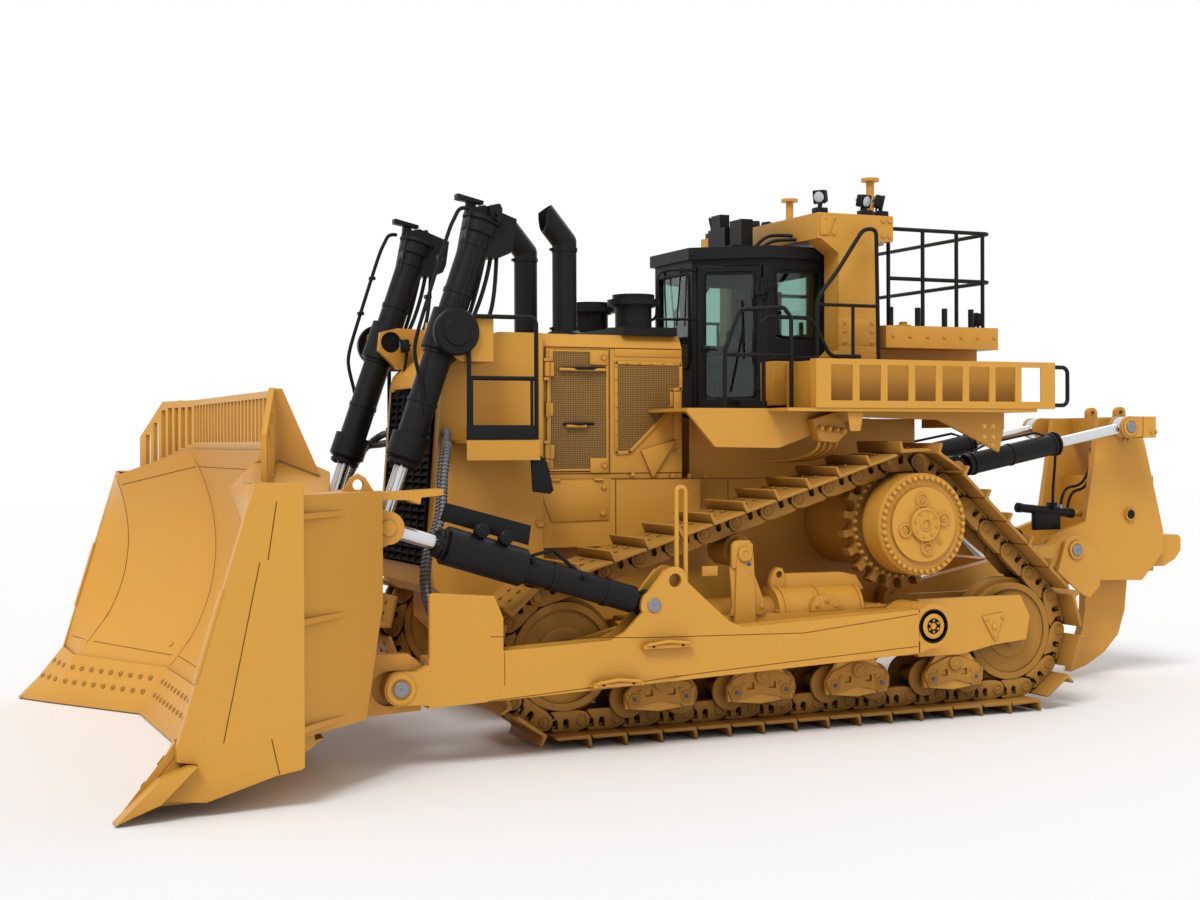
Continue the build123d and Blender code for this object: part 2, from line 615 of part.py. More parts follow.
for side, name in ((1, "engine_door_left"), (-1, "engine_door_right")):
    with BuildPart() as door:
        block(
            (ENGINE_DOOR_REAR_X + DOOR_GAP, ENGINE_DOOR_FRONT_X - DOOR_GAP),
            (side * (HOOD_HALF_WIDTH - HOOD_WALL + 4), side * HOOD_HALF_WIDTH),
            (ENGINE_DOOR_LOW + DOOR_GAP, ENGINE_DOOR_HIGH - DOOR_GAP),
        )
        for z in ENGINE_KNUCKLES:
            with Locations(Location((engine_hinge_x, side * engine_hinge_y, z))):
                Cylinder(HINGE_KNUCKLE_RADIUS, 120)
            knuckle = (z - 60, z + 60)
            leaf_edge = ENGINE_DOOR_FRONT_X - DOOR_GAP
            block((engine_hinge_x - 70, leaf_edge), (side * (HOOD_HALF_WIDTH - 2), side * (HOOD_HALF_WIDTH + 26)), knuckle)
            block((leaf_edge, engine_hinge_x), (side * (HOOD_HALF_WIDTH + 6), side * (HOOD_HALF_WIDTH + 26)), knuckle)
            with Locations(Location((engine_hinge_x, side * engine_hinge_y, z))):
                Cylinder(HINGE_PIN_RADIUS + SEAT_GAP, 130, mode=Mode.SUBTRACT)
        # Bar handles.
        for x, z, length in ((1370, 3110, 440), (1430, 2615, 190)):
            bar_y = side * (HOOD_HALF_WIDTH + 28)
            rod((x - length / 2, bar_y, z), (x + length / 2, bar_y, z), 14)
            for end in (-0.32, 0.32):
                rod((x + end * length, side * (HOOD_HALF_WIDTH - 5), z), (x + end * length, bar_y, z), 10)
    save(door, name)

with BuildPart() as engine:
    block((560, 1600), (-430, 430), (HOOD_BOTTOM_Z, 3250))
save(engine, "engine_block")

stack_out = (STACK_X + STACK_ELBOW * cos(radians(50)), STACK_BEND_Z + STACK_ELBOW * sin(radians(50)))
with BuildPart() as stacks:
    for side in sides:
        y = side * STACK_Y
        rod((STACK_X, y, HOOD_TOP_Z), (STACK_X, y, STACK_BEND_Z), STACK_RADIUS)
        with Locations(Location((STACK_X, y, STACK_BEND_Z))):
            Sphere(STACK_RADIUS)
        rod((STACK_X, y, STACK_BEND_Z), (stack_out[0], y, stack_out[1]), STACK_RADIUS)
        rod((STACK_X, y, STACK_BEND_Z), (stack_out[0] + 20, y, stack_out[1] + 24), STACK_RADIUS - 10, mode=Mode.SUBTRACT)
        rod((STACK_X, y, HOOD_TOP_Z + 300), (STACK_X, y, STACK_BEND_Z), STACK_RADIUS - 10, mode=Mode.SUBTRACT)
        block(
            (STACK_X + 205, STACK_X + 600), (y - 200, y + 200), (STACK_BEND_Z - 200, STACK_BEND_Z + 700),
            mode=Mode.SUBTRACT,
        )
save(stacks, "exhaust_stacks")

with BuildPart() as precleaners:
    block((PRECLEANER_X - 330, PRECLEANER_X + 200), (-700, 700), (HOOD_TOP_Z, HOOD_TOP_Z + 75))
    for side in sides:
        y = side * PRECLEANER_Y
        for radius, low, high in ((165, 75, 280), (235, 280, 330), (190, 330, 375)):
            rod((PRECLEANER_X, y, HOOD_TOP_Z + low), (PRECLEANER_X, y, HOOD_TOP_Z + high), radius)
save(precleaners, "air_precleaners")

# ------------------------------------------------------------------ cab
cab_plan = [
    (CAB_FRONT_X, -CAB_FRONT_Y), (CAB_FRONT_X, CAB_FRONT_Y), (CAB_SIDE_X, CAB_SIDE_Y), (CAB_REAR_X, CAB_SIDE_Y),
    (CAB_REAR_X, -CAB_SIDE_Y), (CAB_SIDE_X, -CAB_SIDE_Y),
]
door_length = hypot(CAB_FRONT_X - CAB_SIDE_X, CAB_SIDE_Y - CAB_FRONT_Y)
DOOR_MARGIN = 42.0
DOOR_LOW = CAB_FLOOR_Z + 70
DOOR_HIGH = CAB_ROOF_Z - 60
DOOR_FRAME = 75.0
GLASS_THICKNESS = 10.0
SIDE_WINDOW = ((-980.0, -520.0), (3420.0, 4020.0))       # x and z limits of the rear side windows
REAR_WINDOW = (620.0, (3300.0, 4020.0))                  # half width and z limits
WINDSHIELD = (320.0, (3050.0, 4040.0))


def door_plane(side):
    """Plane of a cab side door's outer face: local x runs from the rear edge to the front edge."""
    rear = Vector(CAB_SIDE_X, side * CAB_SIDE_Y, 0)
    front = Vector(CAB_FRONT_X, side * CAB_FRONT_Y, 0)
    across = (front - rear).normalized()
    outward = Vector(across.Y, -across.X, 0) * -side
    return Plane(origin=rear, x_dir=across, z_dir=outward)


def door_box(side, x_range, depth_range, z_range, mode=Mode.ADD):
    """A box in a cab door's own frame: along the door, inwards from its outer face, and up."""
    frame = door_plane(side)
    centre = frame.origin + frame.x_dir * sum(x_range) / 2 - frame.z_dir * sum(depth_range) / 2
    centre = Vector(centre.X, centre.Y, sum(z_range) / 2)
    with Locations(Plane(origin=centre, x_dir=frame.x_dir, z_dir=Vector(0, 0, 1))):
        Box(x_range[1] - x_range[0], depth_range[1] - depth_range[0], z_range[1] - z_range[0], mode=mode)


CAB_HINGE_OUT = HINGE_KNUCKLE_RADIUS + 4
CAB_KNUCKLES = (DOOR_LOW + 220, DOOR_HIGH - 220)


def cab_hinge(side):
    """Where a cab door's hinge pins stand in plan, just outside its rear edge."""
    frame = door_plane(side)
    return frame.origin + frame.x_dir * (DOOR_MARGIN + 2) + frame.z_dir * CAB_HINGE_OUT


with BuildPart() as cab:
    plan_prism(cab_plan, CAB_FLOOR_Z, CAB_ROOF_Z)
    with BuildSketch(Plane.XY.offset(CAB_FLOOR_Z + 50)) as room:
        with BuildLine():
            Polyline(*cab_plan, close=True)
        make_face()
        offset(amount=-CAB_WALL, kind=Kind.INTERSECTION, mode=Mode.REPLACE)
    extrude(room.sketch, amount=CAB_ROOF_Z - CAB_FLOOR_Z - 50, mode=Mode.SUBTRACT)
    with BuildSketch(Plane.XY.offset(CAB_ROOF_Z)) as roof:
        with BuildLine():
            Polyline(*cab_plan, close=True)
        make_face()
        offset(amount=CAB_ROOF_OVERHANG, kind=Kind.INTERSECTION, mode=Mode.REPLACE)
    extrude(roof.sketch, amount=CAB_ROOF_THICKNESS)
    for side in sides:
        door_box(side, (DOOR_MARGIN, door_length - DOOR_MARGIN), (-5, CAB_WALL + 5), (DOOR_LOW, DOOR_HIGH), mode=Mode.SUBTRACT)
    block(SIDE_WINDOW[0], (-CAB_SIDE_Y - 5, CAB_SIDE_Y + 5), SIDE_WINDOW[1], mode=Mode.SUBTRACT)
    block((CAB_REAR_X - 5, CAB_REAR_X + CAB_WALL + 5), (-REAR_WINDOW[0], REAR_WINDOW[0]), REAR_WINDOW[1], mode=Mode.SUBTRACT)
    block((CAB_FRONT_X - CAB_WALL - 5, CAB_FRONT_X + 5), (-WINDSHIELD[0], WINDSHIELD[0]), WINDSHIELD[1], mode=Mode.SUBTRACT)
    for side in sides:
        pin = cab_hinge(side)
        for z in CAB_KNUCKLES:
            with Locations(Location((pin.X, pin.Y, z))):
                Cylinder(HINGE_PIN_RADIUS, 190)
            for ear_z in (z - 82, z + 82):
                ear = (ear_z - 13, ear_z + 13)
                door_box(side, (DOOR_MARGIN - 26, DOOR_MARGIN + 16), (-CAB_HINGE_OUT - 14, -2), ear)
                door_box(side, (DOOR_MARGIN - 26, DOOR_MARGIN), (-2, 20), ear)
save(cab, "cab_shell")

with BuildPart() as glass:
    for side in sides:
        middle = side * (CAB_SIDE_Y - CAB_WALL / 2)
        block(SIDE_WINDOW[0], (middle - GLASS_THICKNESS / 2, middle + GLASS_THICKNESS / 2), SIDE_WINDOW[1])
    middle = CAB_REAR_X + CAB_WALL / 2
    block((middle - GLASS_THICKNESS / 2, middle + GLASS_THICKNESS / 2), (-REAR_WINDOW[0], REAR_WINDOW[0]), REAR_WINDOW[1])
    middle = CAB_FRONT_X - CAB_WALL / 2
    block((middle - GLASS_THICKNESS / 2, middle + GLASS_THICKNESS / 2), (-WINDSHIELD[0], WINDSHIELD[0]), WINDSHIELD[1])
save(glass, "cab_glass")

door_leaf = (DOOR_MARGIN + CAB_HINGE_GAP, door_length - DOOR_MARGIN - DOOR_GAP)
leaf_z = (DOOR_LOW + DOOR_GAP, DOOR_HIGH - DOOR_GAP)
for side, name in ((1, "cab_door_left"), (-1, "cab_door_right")):
    with BuildPart() as cab_door:
        door_box(side, door_leaf, (0, 45), leaf_z)
        window_x = (door_leaf[0] + DOOR_FRAME, door_leaf[1] - DOOR_FRAME)
        window_z = (leaf_z[0] + DOOR_FRAME, leaf_z[1] - DOOR_FRAME)
        door_box(side, window_x, (-5, 50), window_z, mode=Mode.SUBTRACT)
        door_box(side, window_x, (18, 18 + GLASS_THICKNESS), window_z)
        pin = cab_hinge(side)
        for z in CAB_KNUCKLES:
            with Locations(Location((pin.X, pin.Y, z))):
                Cylinder(HINGE_KNUCKLE_RADIUS, 120)
            door_box(side, (DOOR_MARGIN + 6, DOOR_MARGIN + 70), (-CAB_HINGE_OUT, 2), (z - 60, z + 60))
            with Locations(Location((pin.X, pin.Y, z))):
                Cylinder(HINGE_PIN_RADIUS + SEAT_GAP, 130, mode=Mode.SUBTRACT)
    save(cab_door, name)

with BuildPart() as station:
    block((-760, -420), (-160, 160), (CAB_FLOOR_Z + 50, 3080))
    block((-820, -330), (-270, 270), (3080, 3220))
    block((-900, -780), (-260, 260), (3150, 3900))
    for side in sides:
        block((-800, -250), sorted((side * 300, side * 440)), (CAB_FLOOR_Z + 50, 3330))
    block((-120, 20), (-280, 280), (CAB_FLOOR_Z + 50, 3200))
save(station, "operator_station")

# Boxes of the air conditioner: fan box, its snorkel, condenser and the low tray under all.
ROOF_BOXES = (
    ((-520, -330), (-150, 190), 240), ((-450, -350), (-120, 60), 375),
    ((-470, -350), (250, 480), 285), ((-620, -250), (-480, 500), 40),
)
with BuildPart() as roof_unit:
    roof_top = CAB_ROOF_Z + CAB_ROOF_THICKNESS
    for x_range, y_range, height in ROOF_BOXES:
        block(x_range, y_range, (roof_top, roof_top + height))
save(roof_unit, "cab_roof_unit")

# ------------------------------------------------------------------ roll-over frame
with BuildPart() as rops:
    block((ROPS_BEAM_REAR_X, ROPS_BEAM_FRONT_X), (-ROPS_Y, ROPS_Y), (ROPS_BEAM_LOW, ROPS_BEAM_HIGH))
    for side in sides:
        low, high = sorted((side * (ROPS_Y - ROPS_COLUMN_WIDTH), side * ROPS_Y))
        side_prism(
            [(ROPS_COLUMN_REAR_X - 40, DECK_Z), (ROPS_COLUMN_REAR_X - 40, 3250), (ROPS_COLUMN_REAR_X, 3300),
             (ROPS_COLUMN_REAR_X, ROPS_BEAM_LOW + 5), (-790, ROPS_BEAM_LOW + 5), (ROPS_COLUMN_FRONT_X, 4185),
             (ROPS_COLUMN_FRONT_X, 3300), (ROPS_COLUMN_FRONT_X + 60, 3250), (ROPS_COLUMN_FRONT_X + 60, DECK_Z)],
            low,
            high,
        )
        # Masts with flat round caps.
        block((MAST_X - 75, ROPS_BEAM_REAR_X + 5), sorted((side * 640, side * 860)), (ROPS_BEAM_LOW, ROPS_BEAM_HIGH))
        rod((MAST_X, side * MAST_Y, ROPS_BEAM_HIGH), (MAST_X, side * MAST_Y, MAST_TOP_Z - 25), MAST_RADIUS)
        rod((MAST_X, side * MAST_Y, MAST_TOP_Z - 30), (MAST_X, side * MAST_Y, MAST_TOP_Z), MAST_CAP_RADIUS)
save(rops, "rops_frame")

# ------------------------------------------------------------------ decks
fender = [
    (720, 2720), (447, 2430), (-175, 2418), (-980, 2690), (-1850, 2667), (-2280, 2480), (-2521, 2370), (-2580, 2600),
    (-2579, DECK_Z - DECK_THICKNESS), (720, DECK_Z - DECK_THICKNESS),
]
fender[0] = (720, DECK_Z - DECK_THICKNESS - 10)
deck_plan = [
    (720, HOOD_HALF_WIDTH + 5), (720, 1460), (-80, 1460), (-80, GUARD_Y - 10), (-2700, GUARD_Y - 10),
    (-2700, BODY_HALF_WIDTH - 300), (CAB_REAR_X - 20, BODY_HALF_WIDTH - 300), (CAB_REAR_X - 20, CAB_SIDE_Y + 30),
    (CAB_SIDE_X, CAB_SIDE_Y + 30), (CAB_FRONT_X + 30, CAB_FRONT_Y + 130), (HOOD_REAR_X - 5, CAB_FRONT_Y + 130),
    (HOOD_REAR_X - 5, HOOD_HALF_WIDTH + 5),
]
with BuildPart() as decks:
    for side in sides:
        plan_prism([(x, side * y) for x, y in deck_plan], DECK_Z - DECK_THICKNESS, DECK_Z)
        side_prism(fender[1:], *sorted((side * 1420, side * 1460)))
        for x in (-300, -2350):
            block((x - 40, x + 40), sorted((side * (BODY_HALF_WIDTH + SEAT_GAP), side * 1421)), (2600, CAB_FLOOR_Z - SEAT_GAP))
            block((x - 40, x + 40), sorted((side * (CAB_SIDE_Y + 40), side * 1421)), (2600, DECK_Z - DECK_THICKNESS))
save(decks, "side_decks")

with BuildPart() as tanks:
    block((-2700, -1450), (-880, 880), (TANK_LOW, TANK_HIGH))
    for side in sides:
        block((-2680, -420), sorted((side * 1180, side * 1560)), (DECK_Z, 3180))
save(tanks, "tanks")

WINDOW_COUNT = 8
window_pitch = (WALK_GUARD_FRONT_X - WALK_GUARD_REAR_X - 240) / WINDOW_COUNT
with BuildPart() as guards:
    for side in sides:
        low, high = sorted((side * (GUARD_Y - 12), side * GUARD_Y))
        block((WALK_GUARD_REAR_X, WALK_GUARD_FRONT_X), (low, high), (WALK_GUARD_LOW - 14, WALK_GUARD_HIGH))
        for n in range(WINDOW_COUNT):
            left = WALK_GUARD_REAR_X + 160 + n * window_pitch
            block((left, left + window_pitch - 70), (low - 1, high + 1), (WALK_GUARD_LOW + 50, WALK_GUARD_HIGH - 50), mode=Mode.SUBTRACT)
        for z in (WALK_GUARD_LOW - 14, WALK_GUARD_HIGH - 12):
            block((WALK_GUARD_REAR_X, WALK_GUARD_FRONT_X), sorted((side * (GUARD_Y - 100), side * (GUARD_Y - 11))), (z, z + 12))
        for x in (WALK_GUARD_REAR_X, WALK_GUARD_FRONT_X - 12):
            block((x, x + 12), sorted((side * (GUARD_Y - 100), side * (GUARD_Y - 11))), (WALK_GUARD_LOW - 14, WALK_GUARD_HIGH))
save(guards, "walkway_guards")

with BuildPart() as rear_deck:
    block((REAR_DECK_REAR_X, REAR_DECK_FRONT_X), (-REAR_DECK_HALF_WIDTH, REAR_DECK_HALF_WIDTH), (TANK_HIGH, REAR_DECK_HIGH))
    block(
        (REAR_DECK_REAR_X + 30, REAR_DECK_FRONT_X - 30), (-REAR_DECK_HALF_WIDTH + 30, REAR_DECK_HALF_WIDTH - 30),
        (REAR_DECK_HIGH - 40, REAR_DECK_HIGH + 1), mode=Mode.SUBTRACT,
    )
save(rear_deck, "rear_deck")

# ------------------------------------------------------------------ front steps and handrails
STEP_Z = 2497.0
STEP_OUTER_Y = 1150.0
with BuildPart() as steps:
    for side in sides:
        block((1940, 2590), sorted((side * NOSE_HALF_WIDTH, side * STEP_OUTER_Y)), (STEP_Z - 30, STEP_Z))
        block((1940, 2590), sorted((side * (STEP_OUTER_Y - 12), side * STEP_OUTER_Y)), (STEP_Z - 170, STEP_Z))
save(steps, "front_steps")

rear_rail_y = REAR_DECK_HALF_WIDTH - 60
rear_top = REAR_DECK_HIGH + RAIL_HEIGHT
rear_base = REAR_DECK_HIGH - 40
with BuildPart() as rails:
    for side in sides:
        y = side * (STEP_OUTER_Y - RAIL_RADIUS - 13)
        inner_y = side * (NOSE_HALF_WIDTH + 60)
        rail([(2560, y, STEP_Z), (2560, y, 3522), (1960, y, 3522), (1960, y, STEP_Z)], RAIL_RADIUS)
        rail([(2560, y, 3010), (1960, y, 3010)], RAIL_RADIUS)
        # Side deck rail beside the cab.
        y = side * (1460 - 40)
        rail(
            [(330, y, DECK_Z), (330, y, 3270), (180, y, 3620), (-260, y, 3650), (-330, y, 3560),
             (-330, y, DECK_Z)],
            RAIL_RADIUS,
        )
        rail([(330, y, 3230), (-330, y, 3230)], RAIL_RADIUS)
        # Posts of the rear deck rail.
        for x in (-1970, -2350, -2650):
            rail([(x, side * rear_rail_y, rear_base), (x, side * rear_rail_y, rear_top)], RAIL_RADIUS)
        # Bar at the rear end of the walkway guard.
        rail(
            [(WALK_GUARD_REAR_X, side * 1745, 3150), (-3080, side * 1745, 3150), (-3080, side * 1745, 2800),
             (WALK_GUARD_REAR_X, side * 1745, 2800)],
            RAIL_RADIUS,
        )
    # Rear deck rail: one tube up, round the deck and down again, and a lower one.
    for height, down in ((rear_top, True), (rear_base + 480, False)):
        bends = [(x, y, height) for x, y in (
            (-1590, -rear_rail_y), (-2730, -rear_rail_y), (-2730, rear_rail_y), (-1590, rear_rail_y)
        )]
        if down:
            bends = [(-1590, -rear_rail_y, rear_base), *bends, (-1590, rear_rail_y, rear_base)]
        rail(bends, RAIL_RADIUS)
save(rails, "handrails")

# ------------------------------------------------------------------ push arms
arm_box = [(-1130, 655), (-1130, 1030), (ARM_BOX_FRONT_X, 850), (ARM_BOX_FRONT_X, 470)]
arm_head = [
    (ARM_BOX_FRONT_X - 10, 800), (3370, BLADE_PIN_Z + ARM_EYE_RADIUS - 1), (BLADE_PIN_X, BLADE_PIN_Z + ARM_EYE_RADIUS - 1),
    (BLADE_PIN_X, BLADE_PIN_Z - ARM_EYE_RADIUS + 1), (3370, BLADE_PIN_Z - ARM_EYE_RADIUS + 1), (ARM_BOX_FRONT_X - 10, 490),
]
eye_plate = [
    (560, 950), (700, 1010), (900, 1180), (1105, 1364), (1285, 1450), (1440, 1270), (1485, 1120), (1640, 970),
    (1800, 900),
]
arm_shield = [(2670, 870), (2670, 1130), (2745, 1300), (3220, 1340), (3262, 1330), (3262, 845)]
STEP_BARS = ((1288, 846), (1724, 566))
STEP_HALF_LENGTH = 215.0
for side, name in ((1, "push_arm_left"), (-1, "push_arm_right")):
    inner, outer = side * ARM_INNER_Y, side * ARM_OUTER_Y
    middle = (inner + outer) / 2
    with BuildPart() as arm:
        side_prism(arm_box, *sorted((inner, outer)))
        # Rear bearing around the trunnion.
        side_prism([(-1150, 655), (-1150, 1030), (-1300, 1060), (-1300, 700)], *sorted((inner, outer - side * 10)))
        cross_pin(TRUNNION_X, TRUNNION_Z, 190, *sorted((inner, outer - side * 10)))
        cross_pin(TRUNNION_X, TRUNNION_Z, TRUNNION_RADIUS + SEAT_GAP, -2 * ARM_OUTER_Y, 2 * ARM_OUTER_Y, mode=Mode.SUBTRACT)
        # Front eye around the blade's pin.
        side_prism(arm_head, *sorted((side * ARM_EYE_INNER_Y, outer)))
        cross_pin(BLADE_PIN_X, BLADE_PIN_Z, ARM_EYE_RADIUS, *sorted((side * ARM_EYE_INNER_Y, outer)))
        cross_pin(
            BLADE_PIN_X, BLADE_PIN_Z, BLADE_PIN_RADIUS + SEAT_GAP, *sorted((inner, outer)), mode=Mode.SUBTRACT
        )
        # Ears for the tilt cylinder, with the spare eye above.
        for near, far in ((-EYE_WIDTH / 2 - 45, -EYE_WIDTH / 2 - 6), (EYE_WIDTH / 2 + 6, EYE_WIDTH / 2 + 45)):
            low, high = sorted((side * TILT_Y + near, side * TILT_Y + far))
            side_prism(eye_plate, low, high)
            cross_pin(SPARE_EYE_X, SPARE_EYE_Z, SPARE_EYE_RADIUS, low, high)
            cross_pin(TILT_REAR_X, TILT_REAR_Z, SPARE_EYE_RADIUS + 5, low, high)
            cross_pin(SPARE_EYE_X, SPARE_EYE_Z, SPARE_EYE_BORE, low - 1, high + 1, mode=Mode.SUBTRACT)
        cross_pin(TILT_REAR_X, TILT_REAR_Z, TILT_PIN_RADIUS, side * TILT_Y - 110, side * TILT_Y + 110)
        # Shield plate near the front.
        side_prism(arm_shield, *sorted((outer - side * 40, outer)))
        # Grab loop and step bars.
        y = outer - side * 28
        rail([(1170, y, 1442), (1170, y, 2110), (1090, y, 2110), (1090, y, 1350)], RAIL_RADIUS)
        for x, z in STEP_BARS:
            step_x = (x - STEP_HALF_LENGTH, x + STEP_HALF_LENGTH)
            block(step_x, sorted((outer - side * 5, outer + side * 60)), (z - 14, z + 14))
    save(arm, name)

# ------------------------------------------------------------------ tilt cylinders
tilt_rear, tilt_front = (TILT_REAR_X, TILT_REAR_Z), (TILT_FRONT_X, TILT_FRONT_Z)
tilt_length = hypot(TILT_FRONT_X - TILT_REAR_X, TILT_FRONT_Z - TILT_REAR_Z)
TILT_GLAND = 1800.0           # from the rear pin to the barrel's front end
TILT_STEP = 1160.0            # from the rear pin to where the barrel grows into its head


def on_tilt(distance, side):
    x, z = along(tilt_rear, tilt_front, distance)
    return (x, side * TILT_Y, z)


with BuildPart() as tilt_barrels:
    for side in sides:
        y = side * TILT_Y
        rod(on_tilt(80, side), on_tilt(220, side), EYE_WIDTH / 2)
        rod(on_tilt(150, side), on_tilt(TILT_STEP, side), TILT_BARREL_RADIUS)
        rod(on_tilt(TILT_STEP - 20, side), on_tilt(TILT_GLAND, side), TILT_HEAD_RADIUS)
        cross_pin(TILT_REAR_X, TILT_REAR_Z, 118, y - EYE_WIDTH / 2, y + EYE_WIDTH / 2)
        cross_pin(TILT_REAR_X, TILT_REAR_Z, TILT_PIN_RADIUS + SEAT_GAP, y - EYE_WIDTH, y + EYE_WIDTH, mode=Mode.SUBTRACT)
        rod(on_tilt(400, side), on_tilt(TILT_GLAND + 5, side), TILT_ROD_RADIUS + SEAT_GAP, mode=Mode.SUBTRACT)
save(tilt_barrels, "tilt_barrels")

TILT_EYE_RADIUS = 105.0
with BuildPart() as tilt_rods:
    for side in sides:
        y = side * TILT_Y
        rod(on_tilt(900, side), on_tilt(tilt_length, side), TILT_ROD_RADIUS)
        cross_pin(TILT_FRONT_X, TILT_FRONT_Z, TILT_EYE_RADIUS, y - EYE_WIDTH / 2, y + EYE_WIDTH / 2)
        cross_pin(TILT_FRONT_X, TILT_FRONT_Z, TILT_PIN_RADIUS + 15, y - EYE_WIDTH, y + EYE_WIDTH, mode=Mode.SUBTRACT)
save(tilt_rods, "tilt_rods")

# ------------------------------------------------------------------ blade lift cylinders
lift_trunnion, lift_eye = (LIFT_TRUNNION_X, LIFT_TRUNNION_Z), (LIFT_EYE_X, LIFT_EYE_Z)
lift_length = hypot(LIFT_EYE_X - LIFT_TRUNNION_X, LIFT_EYE_Z - LIFT_TRUNNION_Z)


def on_lift(distance, side):
    """Distance below the trunnion along a lift cylinder."""
    x, z = along(lift_trunnion, lift_eye, distance)
    return (x, side * LIFT_Y, z)


# Valve box on the upper end of each cylinder, behind it.
LIFT_VALVE_BOX = (
    (2480, 4440), (2361, 4468), (2070, 4363), (2101, 4144), (2131, 4072), (2237, 4026), (2560, 4035),
)
LIFT_VALVE_INNER_Y = 790.0
LIFT_VALVE_OUTER_Y = 965.0
with BuildPart() as lift_barrels:
    for side in sides:
        y = side * LIFT_Y
        rod(on_lift(-LIFT_ABOVE, side), on_lift(LIFT_BELOW, side), LIFT_BARREL_RADIUS)
        rod(on_lift(-LIFT_ABOVE - 30, side), on_lift(-LIFT_ABOVE + 120, side), LIFT_HEAD_RADIUS - 15)
        rod(on_lift(-170, side), on_lift(170, side), LIFT_HEAD_RADIUS)
        rod(on_lift(LIFT_BELOW - 260, side), on_lift(LIFT_BELOW - 60, side), LIFT_HEAD_RADIUS)
        cross_pin(LIFT_TRUNNION_X, LIFT_TRUNNION_Z, LIFT_TRUNNION_RADIUS, y - 190, y + 190)
        side_prism(LIFT_VALVE_BOX, *sorted((side * LIFT_VALVE_INNER_Y, side * LIFT_VALVE_OUTER_Y)))
        rod(on_lift(-LIFT_ABOVE + 100, side), on_lift(LIFT_BELOW + 5, side), LIFT_ROD_RADIUS + SEAT_GAP, mode=Mode.SUBTRACT)
save(lift_barrels, "lift_barrels")

LIFT_EYE_RADIUS = 125.0
with BuildPart() as lift_rods:
    for side in sides:
        y = side * LIFT_Y
        rod(on_lift(300, side), on_lift(lift_length, side), LIFT_ROD_RADIUS)
        cross_pin(LIFT_EYE_X, LIFT_EYE_Z, LIFT_EYE_RADIUS, y - EYE_WIDTH / 2, y + EYE_WIDTH / 2)
        cross_pin(LIFT_EYE_X, LIFT_EYE_Z, TILT_PIN_RADIUS, y - EYE_WIDTH, y + EYE_WIDTH, mode=Mode.SUBTRACT)
save(lift_rods, "lift_rods")

# ------------------------------------------------------------------ blade
# Cross sections of the blade, each as (x, z) points. The face is rolled from top through middle to low, then
# runs straight to foot, where the cutting edge takes over down to its tip. The last four go around the back.
BLADE_COLUMNS = ("y", "top", "middle", "low", "foot", "tip", "heel", "back_low", "back_high", "back_top")
BLADE_TABLE = (
    (BLADE_CENTRE_Y, (4353, 2424), (4112, 1600), (4356, 665), (4553, 407), (4816, EDGE_BOTTOM),
     (4440, 200), (BLADE_BACK_X, 480), (BLADE_BACK_X, 2250), (4230, 2424)),
    (BLADE_WING_Y, (4863, 2168), (4741, 1525), (4941, 818), (5230, 440), (5490, EDGE_BOTTOM),
     (4900, 130), (4160, 420), (4160, 2060), (4560, 2168)),
    (BLADE_END_Y, (4790, 2200), (4985, 1525), (5180, 880), (5290, 480), (5700, EDGE_BOTTOM),
     (5118, 90), (4580, 260), (4560, 2080), (4560, 2190)),
)
blade_sections = [dict(zip(BLADE_COLUMNS, row)) for row in BLADE_TABLE]
EDGE_PROUD = 25.0             # of the cutting edge in front of the blade's face
BLADE_SLANT_X = 4453.0        # where the slanting rear face meets the end plate
LIFTING_HOLE = (3845.0, 2167.0)


def offset_from(start, end, point, out):
    """A point moved out of the face that runs down from start to end."""
    length = hypot(end[0] - start[0], end[1] - start[1])
    down = ((end[0] - start[0]) / length, (end[1] - start[1]) / length)
    return (point[0] - down[1] * out, point[1] + down[0] * out)


def blade_face(row):
    """One cross section of the blade, as a sketch face."""
    behind = EDGE_PROUD - EDGE_THICKNESS - (0.5 if row["y"] == BLADE_CENTRE_Y else 3)
    under_foot = offset_from(row["foot"], row["tip"], row["foot"], behind)
    near_tip = along(row["tip"], row["foot"], 130)
    under_tip = offset_from(row["foot"], row["tip"], near_tip, behind)
    with BuildSketch(Plane.XZ.offset(-row["y"])) as face:
        with BuildLine():
            ThreePointArc(row["top"], row["middle"], row["low"])
            Polyline(
                row["low"], row["foot"], under_foot, under_tip, row["heel"], row["back_low"], row["back_high"],
                row["back_top"], row["top"],
            )
        make_face()
    return face.sketch


def edge_face(row):
    """One cross section of the cutting edge plates."""
    foot, tip = row["foot"], row["tip"]
    top = along(foot, tip, 1)
    with BuildSketch(Plane.XZ.offset(-row["y"])) as face:
        with BuildLine():
            Polyline(
                tip, offset_from(foot, tip, top, EDGE_PROUD), offset_from(foot, tip, top, EDGE_PROUD - EDGE_THICKNESS),
                offset_from(foot, tip, along(tip, foot, 35), EDGE_PROUD - EDGE_THICKNESS), close=True,
            )
        make_face()
    return face.sketch


